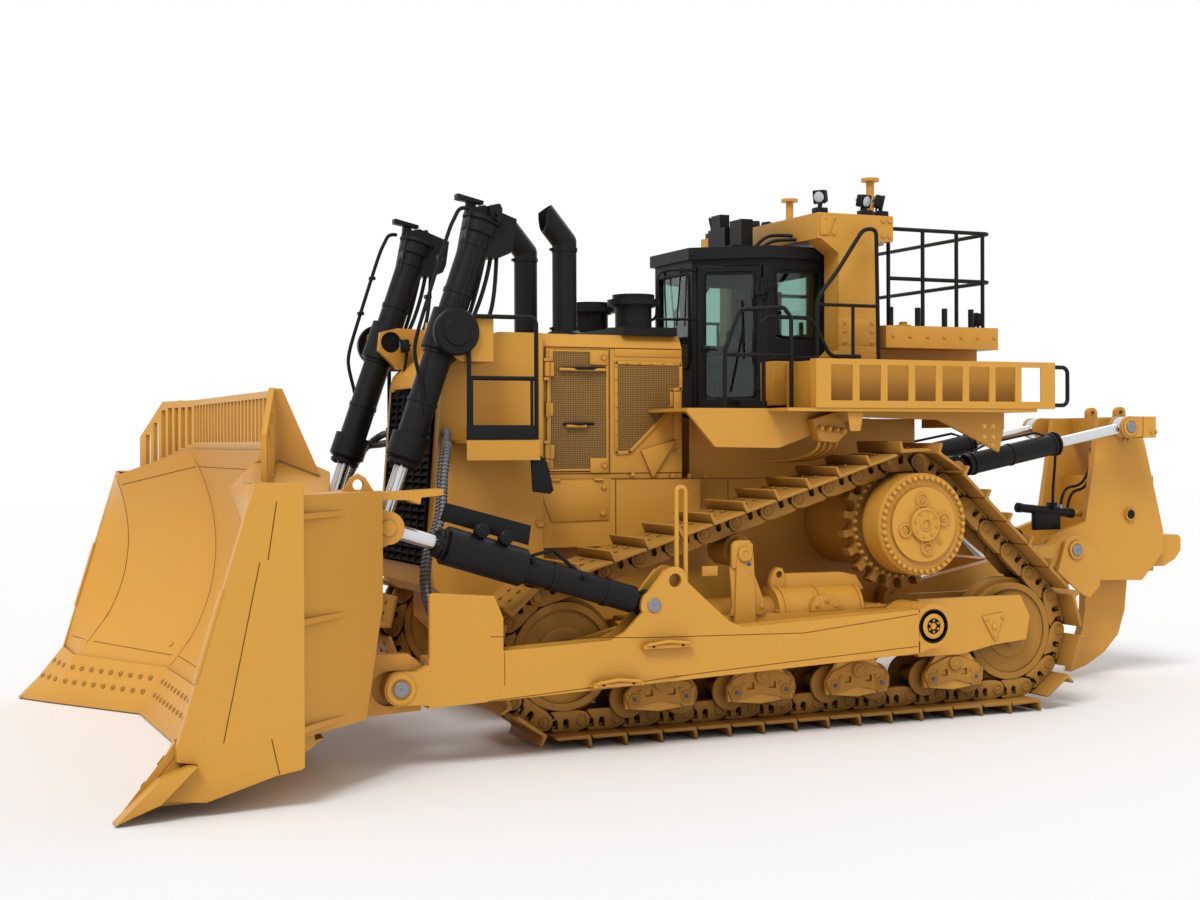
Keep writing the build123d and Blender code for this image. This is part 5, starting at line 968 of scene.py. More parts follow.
def hollow(piece):
    """Take the two end discs off a turned part and join their rims, which leaves a ring."""
    pick(piece)
    bpy.ops.object.mode_set(mode="EDIT")
    bpy.ops.mesh.select_all(action="DESELECT")
    bpy.ops.mesh.select_face_by_sides(number=4, type="GREATER")
    bpy.ops.mesh.delete(type="ONLY_FACE")
    bpy.ops.mesh.select_mode(type="EDGE")
    bpy.ops.mesh.select_all(action="DESELECT")
    bpy.ops.mesh.select_non_manifold()
    bpy.ops.mesh.bridge_edge_loops()
    bpy.ops.mesh.select_mode(type="VERT")
    bpy.ops.object.mode_set(mode="OBJECT")
    return outwards(piece)


def band(a, b, distance, y, inner, outer, width, bolts=0, bolt_size=10):
    """A ring round a cylinder, with bolt heads on its forward face."""
    ring = hollow(turned([(-width, inner), (-width, outer - 3), (3 - width, outer), (-3, outer),
                          (0, outer - 3), (0, inner)], 48))
    run = direction(a, b)
    parts = [copies(ring, [at(on_line(a, b, distance, y), run)])]
    if bolts:
        head = turned([(-2, bolt_size), (bolt_size * 0.8, bolt_size), (bolt_size, bolt_size * 0.8)], 6)
        middle = (inner + outer) / 2 if outer - inner > 2 * bolt_size else outer - bolt_size - 2
        across = run.cross(Vector((0, 1, 0)))
        places = []
        for n in range(bolts):
            turn = 2 * math.pi * (n + 0.5) / bolts
            spot = Vector(on_line(a, b, distance,
                                  y)) + (across * math.cos(turn) + Vector((0, math.sin(turn), 0))) * middle
            places.append(at(tuple(spot), run))
        parts.append(copies(head, places))
    return joined(parts)


# %% Lift cylinders
LIFT_TOP, LIFT_EYE, LIFT_CYLINDER_Y = (2682, 3398), (3512, 1000), 880
parts = [
    band(LIFT_TOP, LIFT_EYE, 1176, LIFT_CYLINDER_Y, 66, 132, 34, 10, 13),
    band(LIFT_TOP, LIFT_EYE, 1128, LIFT_CYLINDER_Y, 118, 142, 26),
    band(LIFT_TOP, LIFT_EYE, 205, LIFT_CYLINDER_Y, 118, 134, 60),
    band(LIFT_TOP, LIFT_EYE, 640, LIFT_CYLINDER_Y, 120, 129, 36),
    band(LIFT_TOP, LIFT_EYE, -330, LIFT_CYLINDER_Y, 120, 130, 40),
    band(LIFT_TOP, LIFT_EYE, -760, LIFT_CYLINDER_Y, 120, 130, 40),
    band(LIFT_TOP, LIFT_EYE, -985, LIFT_CYLINDER_Y, 118, 168, 26, 12, 12),
]
pipe_y = 1000
front_pipe = [(2516, 4427), (2590, 4440), (2640, 4340), (2685, 4252), (2898, 3597), (2993, 3293),
              (2986, 3156), (2915, 2905), (2903, 2700)]
parts.append(tube([(x, pipe_y, z) for x, z in front_pipe], 17, order=3, rounds=2, steps=5))
for run in (((2335, 4040), (2425, 3640), (2515, 3440)), ((2267, 4100), (2328, 3706), (2493, 3421)),
            ((2222, 4100), (2238, 3639), (2359, 3424), (2480, 3390))):
    parts.append(tube([(x, 880, z) for x, z in run], 19, order=3, rounds=2, steps=8))
parts.append(plate([(2492, 4535), (2425, 4525), (2400, 4380), (2500, 4390)], 850, 910, edge=6))
parts.append(tube([(2400, 1002, 4200), (2560, 1002, 3760), (2620, 1002, 3560)], 15))
parts.append(plate([(2584, 4561), (2584, 4513), (2354, 4476), (2354, 4508)], 830, 930, edge=4))
parts.append(plate([(2332, 4462), (2236, 4484), (2212, 4440), (2222, 4318), (2312, 4300)], 930, 1010,
                   edge=8))
for z in (4395, 4345):
    parts.append(copies(turned([(0, 24), (52, 24), (54, 20)], 14), [at((2266, 1005, z))]))
for x, z in ((2872, 3680), (2760, 4010)):
    parts.append(block((x - 26, x + 26), (960, 1024), (z - 16, z + 16), edge=4))
lift_fittings = both_sides(joined(parts))
done(lift_fittings, "lift_cylinder_fittings", "lift_barrels", black)

boss = turned([(0, 196), (48, 196), (62, 182), (66, 120), (78, 112), (78, 20)], 36)
done(copies(boss, [at((LIFT_TOP[0] - 12, side * 1093, LIFT_TOP[1] - 10), (0, side, 0)) for side in SIDES]),
     "lift_trunnion_bosses", "tractor", black)

# %% Tilt cylinders
TILT_REAR, TILT_FRONT, TILT_CYLINDER_Y = (1385, 1171), (3583, 1838), 2085
gland = math.dist(TILT_REAR, (3175, 1719))
parts = [
    band(TILT_REAR, TILT_FRONT, gland + 4, TILT_CYLINDER_Y, 60, 112, 30, 12, 11),
    band(TILT_REAR, TILT_FRONT, gland - 34, TILT_CYLINDER_Y, 104, 120, 26),
    band(TILT_REAR, TILT_FRONT, 900, TILT_CYLINDER_Y, 104, 116, 40),
    band(TILT_REAR, TILT_FRONT, 420, TILT_CYLINDER_Y, 104, 116, 40),
    plate([(3064, 2015), (2360, 1822), (2384, 1668), (3113, 1880)], 1984, 2000, edge=5),
    tube([(2415, 2100, 1590), (2362, 2100, 1668), (2075, 2100, 1596), (2022, 2100, 1466)], 17),
    tube([(2500, 2010, 1600), (2700, 2000, 1690), (3010, 1996, 1780)], 16),
]
lens = turned([(-60, 56), (6, 56), (14, 46), (14, 30), (20, 26), (20, 8)], 24)
parts.append(copies(lens, [at((2835, 2186, 1800)), at((2640, 2190, 1744))]))
parts.append(copies(turned([(0, 20), (60, 20), (62, 15)], 12),
                    [at((2420, 2150, 1560)), at((1990, 2150, 1420))]))
tilt_fittings = both_sides(joined(parts))
done(tilt_fittings, "tilt_cylinder_fittings", "tilt_barrels", black)

# %% Hoses wrapped in a coil, from the nose down to the push arms


def smooth_path(points, count):
    """Places along a curve that passes through every point."""
    path = []
    for n in range(count + 1):
        t = n / count * (len(points) - 1)
        i = min(int(t), len(points) - 2)
        f = t - i
        before, here, there, after = (
            Vector(points[max(0, min(len(points) - 1, k))]) for k in (i - 1, i, i + 1, i + 2)
        )
        path.append(0.5 * (
            2 * here + (there - before) * f + (2 * before - 5 * here + 4 * there - after) * f * f
            + (3 * here - before - 3 * there + after) * f ** 3
        ))
    return path


def coiled(points, radius, turns):
    """A hose inside a wire coil: one smooth tube with a ring for every turn of the wire."""
    path = smooth_path(points, 60)
    hose = tube([tuple(p) for p in path], radius * 0.78, rounds=2)
    lengths = [0]
    for p, q in zip(path, path[1:]):
        lengths.append(lengths[-1] + (q - p).length)
    ring = turned([(-9, radius * 0.7), (-6, radius), (6, radius), (9, radius * 0.7)], 12)
    rings = []
    for n in range(turns):
        reach = lengths[-1] * (n + 0.5) / turns
        i = next(k for k in range(1, len(lengths)) if lengths[k] >= reach) - 1
        share = (reach - lengths[i]) / (lengths[i + 1] - lengths[i])
        rings.append(at(tuple(path[i].lerp(path[i + 1], share)), tuple(path[i + 1] - path[i])))
    return joined([hose, copies(ring, rings)])


for side, name in ((1, "left"), (-1, "right")):
    parts = []
    for shift in (0, 80):
        route = [(2650, 770, 2560 - shift), (2690, 950, 2545 - shift), (2790, 1150 + shift, 2420),
                 (2880, 1330 + shift, 2180),
                 (2960, 1500 + shift, 1880), (3120, 1660 + shift, 1580), (3180, 1820 + shift, 1300),
                 (3130, 1940 + shift, 1060),
                 (3080, 1990 + shift, 880)]
        parts.append(coiled([(x, side * y, z) for x, y, z in route], 34, 64))
    hoses = joined(parts)
    done(hoses, f"coiled_hoses_{name}", None, coil_grey)
    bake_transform(hoses)

# %% [markdown]
# ## Engine enclosure
# Sheet metal reads through its gaps, hinges, latches and screens. The screens are a pattern of
# round holes painted near black in the material, as painted shade for the dark space behind the sheet,
# because ten thousand real holes would need more faces than all the rest.

# %% Perforated sheet
screen = finish("perforated_sheet", (0.36, 0.19, 0.040), 0.5, clouds=0.15)
tree = screen.node_tree
shader = tree.nodes["Principled BSDF"]
place = tree.nodes["Texture Coordinate"]
scaled = node(tree, "VectorMath", {"operation": "MULTIPLY"})
HOLES_PER_METRE = 62.0
scaled.inputs[1].default_value = (HOLES_PER_METRE, 0, HOLES_PER_METRE)
cell = node(tree, "VectorMath", {"operation": "FRACTION"})
centre = node(tree, "VectorMath", {"operation": "DISTANCE"})
centre.inputs[1].default_value = (0.5, 0.0, 0.5)
inside = node(tree, "Math", {"operation": "LESS_THAN"})
inside.inputs[1].default_value = 0.36
# Painted shade: inside each hole the colour is near black, for the shade behind the sheet.
darker = node(tree, "Mix", {"data_type": "RGBA"})
darker.inputs["B"].default_value = (0.03, 0.018, 0.006, 1)
for a, b in ((place.outputs["Object"], scaled.inputs[0]), (scaled.outputs[0], cell.inputs[0]),
             (cell.outputs[0], centre.inputs[0]), (centre.outputs["Value"], inside.inputs[0]),
             (inside.outputs[0], darker.inputs["Factor"])):
    tree.links.new(a, b)
coated = shader.inputs["Base Color"].links[0].from_socket
tree.links.new(coated, darker.inputs["A"])
tree.links.new(darker.outputs["Result"], shader.inputs["Base Color"])

# %% Screens, frames and door furniture on each side
HOOD_FACE = 700
DOOR_SCREEN = [(1124, 2232), (1686, 2232), (1686, 3276), (1124, 3276)]
REAR_SCREEN = [(1036, 3180), (398, 3170), (398, 2950), (492, 2940), (492, 2775), (905, 2385), (1036, 2378)]


def framed(outline, y, wide=26, proud=9):
    """Flat bars that follow an outline."""
    bars = []
    for (a, b), (c, d) in zip(outline, outline[1:] + outline[:1]):
        run = Vector((c - a, d - b))
        length = run.length
        run.normalize()
        side = Vector((-run.y, run.x))
        corners = [Vector((a, b)) - side * wide / 2, Vector((c, d)) - side * wide / 2,
                   Vector((c, d)) + side * wide / 2, Vector((a, b)) + side * wide / 2]
        bars.append(plate([tuple(p) for p in corners], y - 2, y + proud, edge=2))
        bars.append(copies(turned([(-2, wide / 2), (proud, wide / 2)], 16), [at((a, y, b))]))
    return joined(bars)


screw = turned([(-2, 11), (8, 10), (10, 7)], 10)
for side, name in ((1, "left"), (-1, "right")):
    flip = Matrix.Identity(4) if side > 0 else MIRROR
    body = f"engine_door_{name}"
    sheet_piece = copies(plate(DOOR_SCREEN, HOOD_FACE - 1, HOOD_FACE + 5), [flip])
    done(sheet_piece, f"engine_door_screen_{name}", body, screen)
    parts = [framed(DOOR_SCREEN, HOOD_FACE, 20, 10)]
    parts.append(block((1662, 1696), (HOOD_FACE - 2, HOOD_FACE + 8), (2225, 3280), edge=3))
    for z in (3225, 2275):
        parts.append(block((1115, 1290), (HOOD_FACE, HOOD_FACE + 16), (z - 72, z + 60), edge=6))
        parts.append(copies(turned([(14, 30), (24, 30), (28, 24), (22, 20), (22, 8)], 20),
                            [at((1160, HOOD_FACE, z))]))
    for z in (3235, 2300, 2760):
        parts.append(copies(turned([(-62, 12), (62, 12)], 12), [at((1702, HOOD_FACE + 20, z), (0, 0, 1))]))
        parts.append(block((1640, 1704), (HOOD_FACE, HOOD_FACE + 14), (z - 55, z + 55), edge=4))
    done(copies(joined(parts), [flip]), f"engine_door_frame_{name}", body, yellow)
    bars = [tube([(1540, HOOD_FACE + 4, 3118), (1540, HOOD_FACE + 62, 3118), (1150, HOOD_FACE + 62, 3124),
                  (1150, HOOD_FACE + 4, 3124)], 13),
            tube([(1543, HOOD_FACE + 4, 2635), (1543, HOOD_FACE + 50, 2635), (1252, HOOD_FACE + 50, 2637),
                  (1252, HOOD_FACE + 4, 2637)], 11)]
    done(copies(joined(bars), [flip]), f"engine_door_handles_{name}", body, black)

rear_sheets = both_sides(plate(REAR_SCREEN, HOOD_FACE - 1, HOOD_FACE + 5))
done(rear_sheets, "hood_screens", "tractor", screen)
parts = [framed(REAR_SCREEN, HOOD_FACE, 30, 10)]
screw_places = [(1036, z) for z in range(2430, 3180, 120)] + [(x, 3176) for x in range(450, 1000, 120)]
parts.append(copies(screw, [at((x, HOOD_FACE + 8, z)) for x, z in screw_places]))
parts.append(plate([(800, 2400), (452, 2496), (688, 2150)], HOOD_FACE - 2, HOOD_FACE + 30, edge=6))
parts.append(block((392, 1046), (HOOD_FACE - 4, HOOD_FACE + 6), (3232, 3300), edge=3))
parts.append(block((400, 470), (HOOD_FACE - 2, HOOD_FACE + 12), (2500, 2925), edge=4))
parts.append(plate([(1759, 2149), (1123, 2138), (1128, 1790), (1676, 1781), (1750, 1976)], 738, 750,
                   edge=5))
door_hinge = turned([(-40, 12), (40, 12)], 10)
parts.append(copies(door_hinge, [at((x, 756, 2146), (1, 0, 0)) for x in (1230, 1640)]))
parts.append(copies(turned([(-2, 42), (16, 42), (22, 34), (18, 28), (18, 10)], 24),
                    [at((1782, 742, 1778))]))
parts.append(copies(turned([(-2, 22), (12, 22), (14, 16)], 16),
                    [at((1190, 752, 1850)), at((1180, 752, 2080))]))
body_bolts = [(495, 2170), (330, 2168), (169, 2166), (890, 2183), (444, 2393), (81, 2125)]
parts.append(copies(bolt_head(14, 12, 22), [at((x, 740, z)) for x, z in body_bolts]))
hood_parts = both_sides(joined(parts))
done(hood_parts, "hood_details", "tractor", yellow)

# %% Seams: the lines where sheets meet
lines = [
    [(1712, HOOD_FACE + 1, 2200), (1712, HOOD_FACE + 1, 3300)],
         [(1098, HOOD_FACE + 1, 2200), (1098, HOOD_FACE + 1, 3300)],
    [(1712, HOOD_FACE + 1, 3305), (392, HOOD_FACE + 1, 3305)],
         [(1712, HOOD_FACE + 1, 2200), (392, HOOD_FACE + 1, 2200)],
    [(1060, 741, 1500), (1060, 741, 2148)], [(-60, 741, 1700), (-60, 741, 2140)],
         [(1100, 741, 2152), (-400, 741, 2140)],
]
hood_seams = both_sides(joined([tube(run, 4, rounds=1) for run in lines]))
done(hood_seams, "hood_seams", "tractor", seam_brown)

# %% Radiator louvres and nose
slats = []
for n in range(24):
    z = 1470 + n * 62
    x = 2788 - (z - 1489) * 0.0767
    slats.append(plate([(x - 18, z - 16), (x + 14, z - 24), (x + 18, z - 20), (x - 14, z + 20)], -600, 600))
for n in range(7):
    y = -600 + n * 200
    slats.append(plate([(2788 - 20, 1450), (2788 + 22, 1450), (2675 + 22, 2940), (2675 - 20, 2940)], y - 8,
                       y + 8))
louvres = joined(slats)
done(louvres, "radiator_louvres", "tractor", flat_black)

# %% Clamps and boots of the stacks and the air cleaners
STACK_X, STACK_Y = 1428, 469
CLEANER_X, CLEANER_Y = 760, 480
parts = []
for side in SIDES:
    y = side * STACK_Y
    for z in (3480, 4180):
        parts.append(copies(turned([(-18, 108), (-18, 116), (18, 116), (18, 108)], 40),
                            [at((STACK_X, y, z), (0, 0, 1))]))
        parts.append(block((STACK_X + 108, STACK_X + 140), (y - 14, y + 14), (z - 12, z + 12), edge=3))
    parts.append(copies(turned([(0, 170), (10, 170), (16, 160), (40, 118), (44, 108)], 40),
                        [at((STACK_X, y, 3424), (0, 0, 1))]))
    y = side * CLEANER_Y
    for z, r in ((3462, 150), (3520, 142), (3700, 196)):
        parts.append(copies(turned([(-10, r - 8), (-10, r), (10, r), (10, r - 8)], 40),
                            [at((CLEANER_X, y, z), (0, 0, 1))]))
done(joined(parts), "stack_clamps", "tractor", black)

# %% [markdown]
# ## Cab
# The cab shell is hollow, with its windows cut. Here the windows get their black rubber frames, the
# doors their glass, handles and hinges, and the space behind them a seat and a console.

# %% Door glass: the panes of the door nodes take the glass finish
PANE_NEAR, PANE_FAR = 0.068, 0.090        # both faces of a pane, behind the handle's outer face
for side, name in ((1, "left"), (-1, "right")):
    door = nodes[f"cab_door_{name}"]
    outward = Vector((0.625, side * 0.781, 0))
    door.data.materials.append(glass)
    faces = [f for f in door.data.polygons if abs(f.normal.dot(outward)) > 0.98]
    outer = max(f.center.dot(outward) for f in faces)
    for face in faces:
        if PANE_NEAR < outer - face.center.dot(outward) < PANE_FAR:
            face.material_index = 1

# %% Rubber frames round the windows, with rounded corners


def rounded(corners, radius, steps=4):
    """A closed outline with its corners rounded."""
    found = []
    for n, corner in enumerate(corners):
        here = Vector(corner)
        before, after = Vector(corners[n - 1]), Vector(corners[(n + 1) % len(corners)])
        a, b = here + (before - here).normalized() * radius, here + (after - here).normalized() * radius
        for k in range(steps + 1):
            t = k / steps
            found.append(tuple(a * (1 - t) ** 2 + here * 2 * t * (1 - t) + b * t * t))
    return found


def window_frame(corners, radius=60, thick=11):
    """A rubber bead laid along a window's edge in three dimensions."""
    path = rounded(corners, radius)
    return tube(path + [path[0]], thick, rounds=2)


beads = []
for side in SIDES:
    y = side * 833
    beads.append(window_frame([(-507, y, 4054), (-1020, y, 4050), (-1020, y, 3430), (-540, y, 3430)], 70))
    low, high = (-413, side * 818), (103, side * 403)
    panes = [
        (low[0] + (high[0] - low[0]) * share + 3, low[1] + (high[1] - low[1]) * share + side * 4, z)
        for share, z in ((0.14, 4040), (0.86, 4040), (0.86, 2880), (0.14, 2880))
    ]
    beads.append(window_frame(panes, 60, 9))
beads.append(window_frame([(123, -330, 4040), (123, 330, 4040), (123, 330, 3160), (123, -330, 3160)], 70))
done(joined(beads[0:1] + beads[2:3] + beads[4:]), "window_beads", "tractor", rubber)
for bead, name in ((beads[1], "left"), (beads[3], "right")):
    done(bead, f"door_bead_{name}", f"cab_door_{name}", rubber)

# %% Door handles, hinges and wiper


def on_door(side):
    """Places on a door, by the share of its width from the hinge, the distance out of it, and z."""
    def spot(share, out, z):
        return -413 + 516 * share + 0.625 * out, side * (818 - 415 * share + 0.781 * out), z
    return spot


for side, name in ((1, "left"), (-1, "right")):
    spot = on_door(side)
    facing = (0.625, side * 0.781, 0)
    parts = [
        tube([spot(0.17, 0, 3878), spot(0.17, 44, 3878), spot(0.17, 44, 3671), spot(0.17, 0, 3671)], 11),
        tube([spot(0.17, 0, 3502), spot(0.17, 44, 3502), spot(0.17, 44, 3191), spot(0.17, 0, 3191)], 12),
        copies(turned([(0, 34), (10, 34), (14, 28)], 20), [at(spot(0.85, 4, 3330), facing)]),
        tube([spot(0.85, 14, 3330), spot(0.85, 40, 3330), spot(0.7, 40, 3322)], 9),
    ]
    wiper = tube([spot(0.5, 4, 2930), spot(0.5, 18, 2930), spot(0.32, 12, 3500)], 7)
    blade_arm = tube([spot(0.31, 8, 3230), spot(0.33, 8, 3770)], 9)
    parts += [wiper, blade_arm]
    done(joined(parts), f"door_handles_{name}", f"cab_door_{name}", black)
parts = []
for side in SIDES:
    for z in (3080, 3900):
        parts.append(copies(turned([(-60, 17), (60, 17), (64, 12)], 14),
                            [at((-402, side * 838, z), (0, 0, 1))]))
        parts.append(block((-520, -404), sorted((side * 826, side * 840)), (z - 34, z + 34), edge=4))
    parts.append(tube([(150, side * 420, 4196), (-420, side * 868, 4196), (-1040, side * 868, 4190)], 17))
    parts.append(tube([(-480, side * 620, 4262), (-560, side * 650, 4330), (-700, side * 700, 4340),
                       (-780, side * 760, 4340)], 16, order=3, steps=6))
    parts.append(tube([(-440, side * 560, 4262), (-520, side * 590, 4380), (-700, side * 640, 4390),
                       (-780, side * 690, 4380)], 16, order=3, steps=6))
    parts.append(plate([(-38, 2864), (-176, 2865), (-210, 2815), (-38, 2814)], side * 690, side * 706,
                       edge=3))
parts.append(bent([(110, 450, 4052), (386, 450, 4045), (500, 450, 4010), (513, 450, 3584),
                   (700, 450, 3574)], 70, 14))
parts.append(tube([(120, 450, 3600), (519, 450, 3590)], 12))
for y in (-180, 180):
    parts.append(tube([(126, y, 4100), (150, y, 4090), (140, y * 0.6, 3560)], 8))
cab_trim = joined(parts)
done(cab_trim, "cab_trim", "tractor", black)

# %% Seat and console behind the glass
seat = joined([
    block((-760, -330), (-250, 250), (3150, 3290), edge=45),
    block((-830, -680), (-240, 240), (3260, 3850), edge=50),
    block((-800, -700), (-150, 150), (3870, 4040), edge=40),
    block((-740, -340), (-340, -270), (3330, 3400), edge=22),
    block((-740, -340), (270, 340), (3330, 3400), edge=22),
])
done(seat, "operator_seat", "tractor", cloth)
parts = [
    block((-560, -260), (-420, -300), (2800, 3300), edge=18),
    block((-560, -260), (300, 420), (2800, 3300), edge=18),
    block((0, 60), (-300, 300), (3020, 3420), edge=20),
    tube([(-300, -350, 3300), (-290, -350, 3440)], 16), tube([(-300, 350, 3300), (-290, 350, 3440)], 16),
    copies(turned([(-30, 20), (0, 34), (40, 36), (60, 22)], 16),
           [at((-290, side * 350, 3450), (0, 0, 1)) for side in SIDES]),
    block((0, 30), (-120, 120), (3440, 3640), edge=10),
]
done(joined(parts), "cab_console", "tractor", trim)

# %% [markdown]
# ## Rails, decks and lamps
# The hand rails stand in welded sleeves with bolted clamps, and there are two more loops beside
# the cab. Work lamps sit on brackets under the roof beam, and the tanks behind the cab have
# panels, a filler and rows of bolts.

# %% More rails beside the cab
CAB_RAIL_Y, GUARD_Y = 1300, 1390
parts = []
for side in SIDES:
    y = side * CAB_RAIL_Y
    parts.append(bent([(-120, y, 2790), (-116, y, 3540), (-180, y, 3575), (-608, y, 3575), (-800, y, 3235),
                       (-1115, y, 3240)], 70, 19))
    parts.append(bent([(-667, y, 2790), (-661, y, 3749), (-877, y, 3999), (-1150, y, 4390),
                       (-1290, y, 4401), (-1319, y, 2790)], 90, 19))
    parts.append(tube([(-668, y, 3698), (-1316, y, 3698)], 16))
    parts.append(tube([(-1041, y, 3696), (-1039, y, 2790)], 16))
    parts.append(tube([(-120, y, 3200), (-667, y, 3225)], 16))
    for x in (-1600, -1900, -2200, -2500):
        parts.append(copies(turned([(-60, 27), (170, 27), (174, 21)], 14),
                            [at((x, side * 1060, 3547), (0, 0, 1))]))
    y = side * GUARD_Y
    parts.append(block((-1250, -784), sorted((y, y + side * 26)), (3040, 3133), edge=8))
    for x in (-800, -1020, -1240):
        parts.append(block((x - 16, x + 16), sorted((y, y + side * 22)), (2790, 3060), edge=4))
    for x, z in ((-120, 2796), (-667, 2796), (-1041, 2796), (-1319, 2796)):
        parts.append(copies(turned([(-10, 30), (34, 30), (38, 24)], 20),
                            [at((x, side * CAB_RAIL_Y, z), (0, 0, 1))]))
        parts.append(block((x - 42, x + 42), (side * CAB_RAIL_Y - 42, side * CAB_RAIL_Y + 42), (2762, 2780),
                           edge=5))
done(joined(parts), "cab_side_rails", "tractor", black)

# %% Flat posts and band of the front platforms
PLATFORM_RAIL_Y = 1125
parts = []
for side in SIDES:
    y = side * PLATFORM_RAIL_Y
    for x in (1985, 2240, 2500):
        parts.append(copies(turned([(-20, 27), (70, 27), (74, 22)], 16), [at((x, y, 2520), (0, 0, 1))]))
    parts.append(block((1985, 2585), sorted((y - side * 6, y + side * 30)), (2497, 2620), edge=5))
    parts.append(plate([(2010, 2400), (1937, 2383), (1862, 2312), (1802, 2072), (1830, 2040), (1990, 2060)],
                       *sorted((side * 1085, side * 1112)), edge=6))
    for x in (2005, 2540):
        parts.append(block((x - 12, x + 12), sorted((y - side * 6, y + side * 12)), (2500, 2990), edge=3))
done(joined(parts), "front_platform_posts", "tractor", black)

# %% Work lamps


def lamp(x, y, z, outward, size=1.0):
    """A round-cornered work lamp: a ribbed black case and its glass."""
    case = joined([
        block((-60, 60), (-60, 60), (-66, 12), edge=16),
        block((-66, 66), (-66, 66), (2, 26), edge=12),
        block((-50, 50), (-8, 8), (-80, -60), edge=4),
        block((-8, 8), (-92, -60), (-34, -14), edge=4),
    ])
    face = turned([(20, 52), (27, 51), (29, 44)], 24)
    place = at((x, y, z), outward, size=size)
    return copies(case, [place]), copies(face, [place])


cases, faces = [], []
for side in SIDES:
    for x, z, out in ((-850, 4700, (1, side * 0.7, -0.25)), (-1330, 4684, (-0.3, side, -0.25)),
                      (-1500, 4684, (-1, side * 0.4, -0.25))):
        case, face = lamp(x, side * 1050, z, out, 0.95)
        cases += [case, block((x - 60, x + 60), (side * 1050 - 50, side * 1050 + 50), (4540, 4600),
                              edge=10),
                  tube([(x, side * 1050, 4580), (x, side * 1050, 4650)], 20)]
        faces.append(face)
    case, face = lamp(2600, side * 560, 3360, (1, side * 0.3, -0.1), 0.95)
    cases.append(case)
    faces.append(face)
    cases.append(tube([(2560, side * 560, 3300), (2590, side * 560, 3180), (2600, side * 560, 3060)], 14))
    case, face = lamp(-2700, side * 900, 3640, (-1, side * 0.2, -0.2), 0.95)
    cases.append(case)
    faces.append(face)
    cases.append(tube([(-2700, side * 900, 3540), (-2700, side * 900, 3600)], 14))
done(joined(cases), "work_lamp_cases", "tractor", black)
done(joined(faces), "work_lamp_glasses", "tractor", lamp_silver)

# %% Roof beam and tanks
BEAM_SIDE_Y = 1150
parts = []
for side in SIDES:
    for x, z in [(x, z) for x in (-840, -930, -1460, -1530) for z in (4360, 4500)]:
        parts.append(copies(bolt_head(17, 14, 28), [at((x, side * BEAM_SIDE_Y, z), (0, side, 0))]))
    parts.append(plate([(-790, 4340), (-880, 4340), (-960, 4520), (-790, 4520)], side * BEAM_SIDE_Y,
                       side * 1160, edge=4))
    for z in (3380, 3480, 3560):
        for x in (-1040, -1335):
            parts.append(copies(bolt_head(17, 14, 27), [at((x, side * BEAM_SIDE_Y, z), (0, side, 0))]))
    parts.append(plate([(-980, 3350), (-1395, 3350), (-1395, 3600), (-980, 3600)], side * 1148, side * 1153,
                       edge=3))
    # Tank beside the walkway, with its access panel.
    y = side * BEAM_SIDE_Y
    parts.append(block((-763, -304), sorted((side * 900, y)), (2796, 3195), edge=18))
    parts.append(block((-751, -428), sorted((y, y + side * 10)), (2816, 3015), edge=4))
    parts.append(copies(turned([(-2, 14), (10, 14), (12, 9)], 12),
                        [at((x, y + side * 8, z), (0, side, 0)) for x in (-735, -444) for z in (2832,
                                                                                                3000)]))
    parts.append(copies(turned([(-4, 75), (26, 75), (30, 68), (30, 40), (58, 38), (60, 30)], 28),
                        [at((-1900, side * 820, 3545), (0, 0, 1))]))
    for n in range(7):
        x = -1600 - n * 190
        parts.append(copies(bolt_head(13, 11, 20), [at((x, side * 1100, 3450), (0, side, 0))]))
    for x, z in ((-2107, 2602), (-2204, 2602), (-2107, 2506), (-2204, 2505), (-2199, 2431)):
        parts.append(copies(bolt_head(14, 12, 24), [at((x, side * 1796, z), (0, side, 0))]))
tank_parts = joined(parts)
done(tank_parts, "tank_and_beam_details", "tractor", yellow)

# %% Valve clusters with their hoses, under the walkways
VALVE_Y = 1500
parts = []
for side in SIDES:
    y = side * VALVE_Y
    parts.append(plate([(-459, 2672), (-709, 2741), (-823, 2555), (-708, 2457), (-526, 2477)], y - 70,
                       y + 70, edge=14))
    for n, x in enumerate((-520, -600, -680, -750)):
        parts.append(copies(turned([(-4, 26), (34, 26), (38, 20), (60, 18)], 16),
                            [at((x, y + side * 68, 2590 - n * 8), (0, side, 0))]))
    parts.append(plate([(-694, 2746), (-864, 2737), (-829, 2563), (-727, 2563)], side * 1740, side * 1752,
                       edge=5))
    for n in range(4):
        x = -560 - n * 60
        parts.append(tube([(x, y, 2480), (x - 10, y + side * 20, 2380), (x + 60, y - side * 160, 2290),
                           (x + 260, side * 900, 2300)],
                          15, order=4, rounds=2, steps=6))
done(joined(parts), "valve_clusters", "tractor", yellow)

# %% [markdown]
# ## Track frames
# Above the frame tube sit the carrier roller's bracket and the recoil housing with its lug. The
# bogies' outer plates have a boss at each roller and a pair of square windows, and a small
# three-cornered cover closes the rear idler's yoke.

# %% Brackets, housings and covers
parts = []
bracket_y = HALF_GAUGE + 240
parts.append(plate([(442, 1415), (228, 1408), (95, 1073), (118, 1000), (440, 1000), (416, 1086)],
                   bracket_y, bracket_y + 26, edge=6))
parts.append(plate([(432, 1400), (228, 1400), (224, 1600), (262, 1640), (396, 1640), (430, 1606)],
                   bracket_y, bracket_y + 40, edge=10))
for x, z in ((367, 1371), (255, 1367), (368, 1288), (255, 1284), (248, 1084), (135, 1070), (360, 1080)):
    parts.append(copies(bolt_head(15, 12, 24), [at((x, bracket_y + 26, z))]))
parts.append(copies(turned([(0, 66), (20, 66), (26, 58), (26, 34), (20, 30)], 28),
                    [at((310, bracket_y + 38, 1520))]))
parts.append(tube([(326, bracket_y - 20, 1620), (300, bracket_y - 110, 1640)], 30))
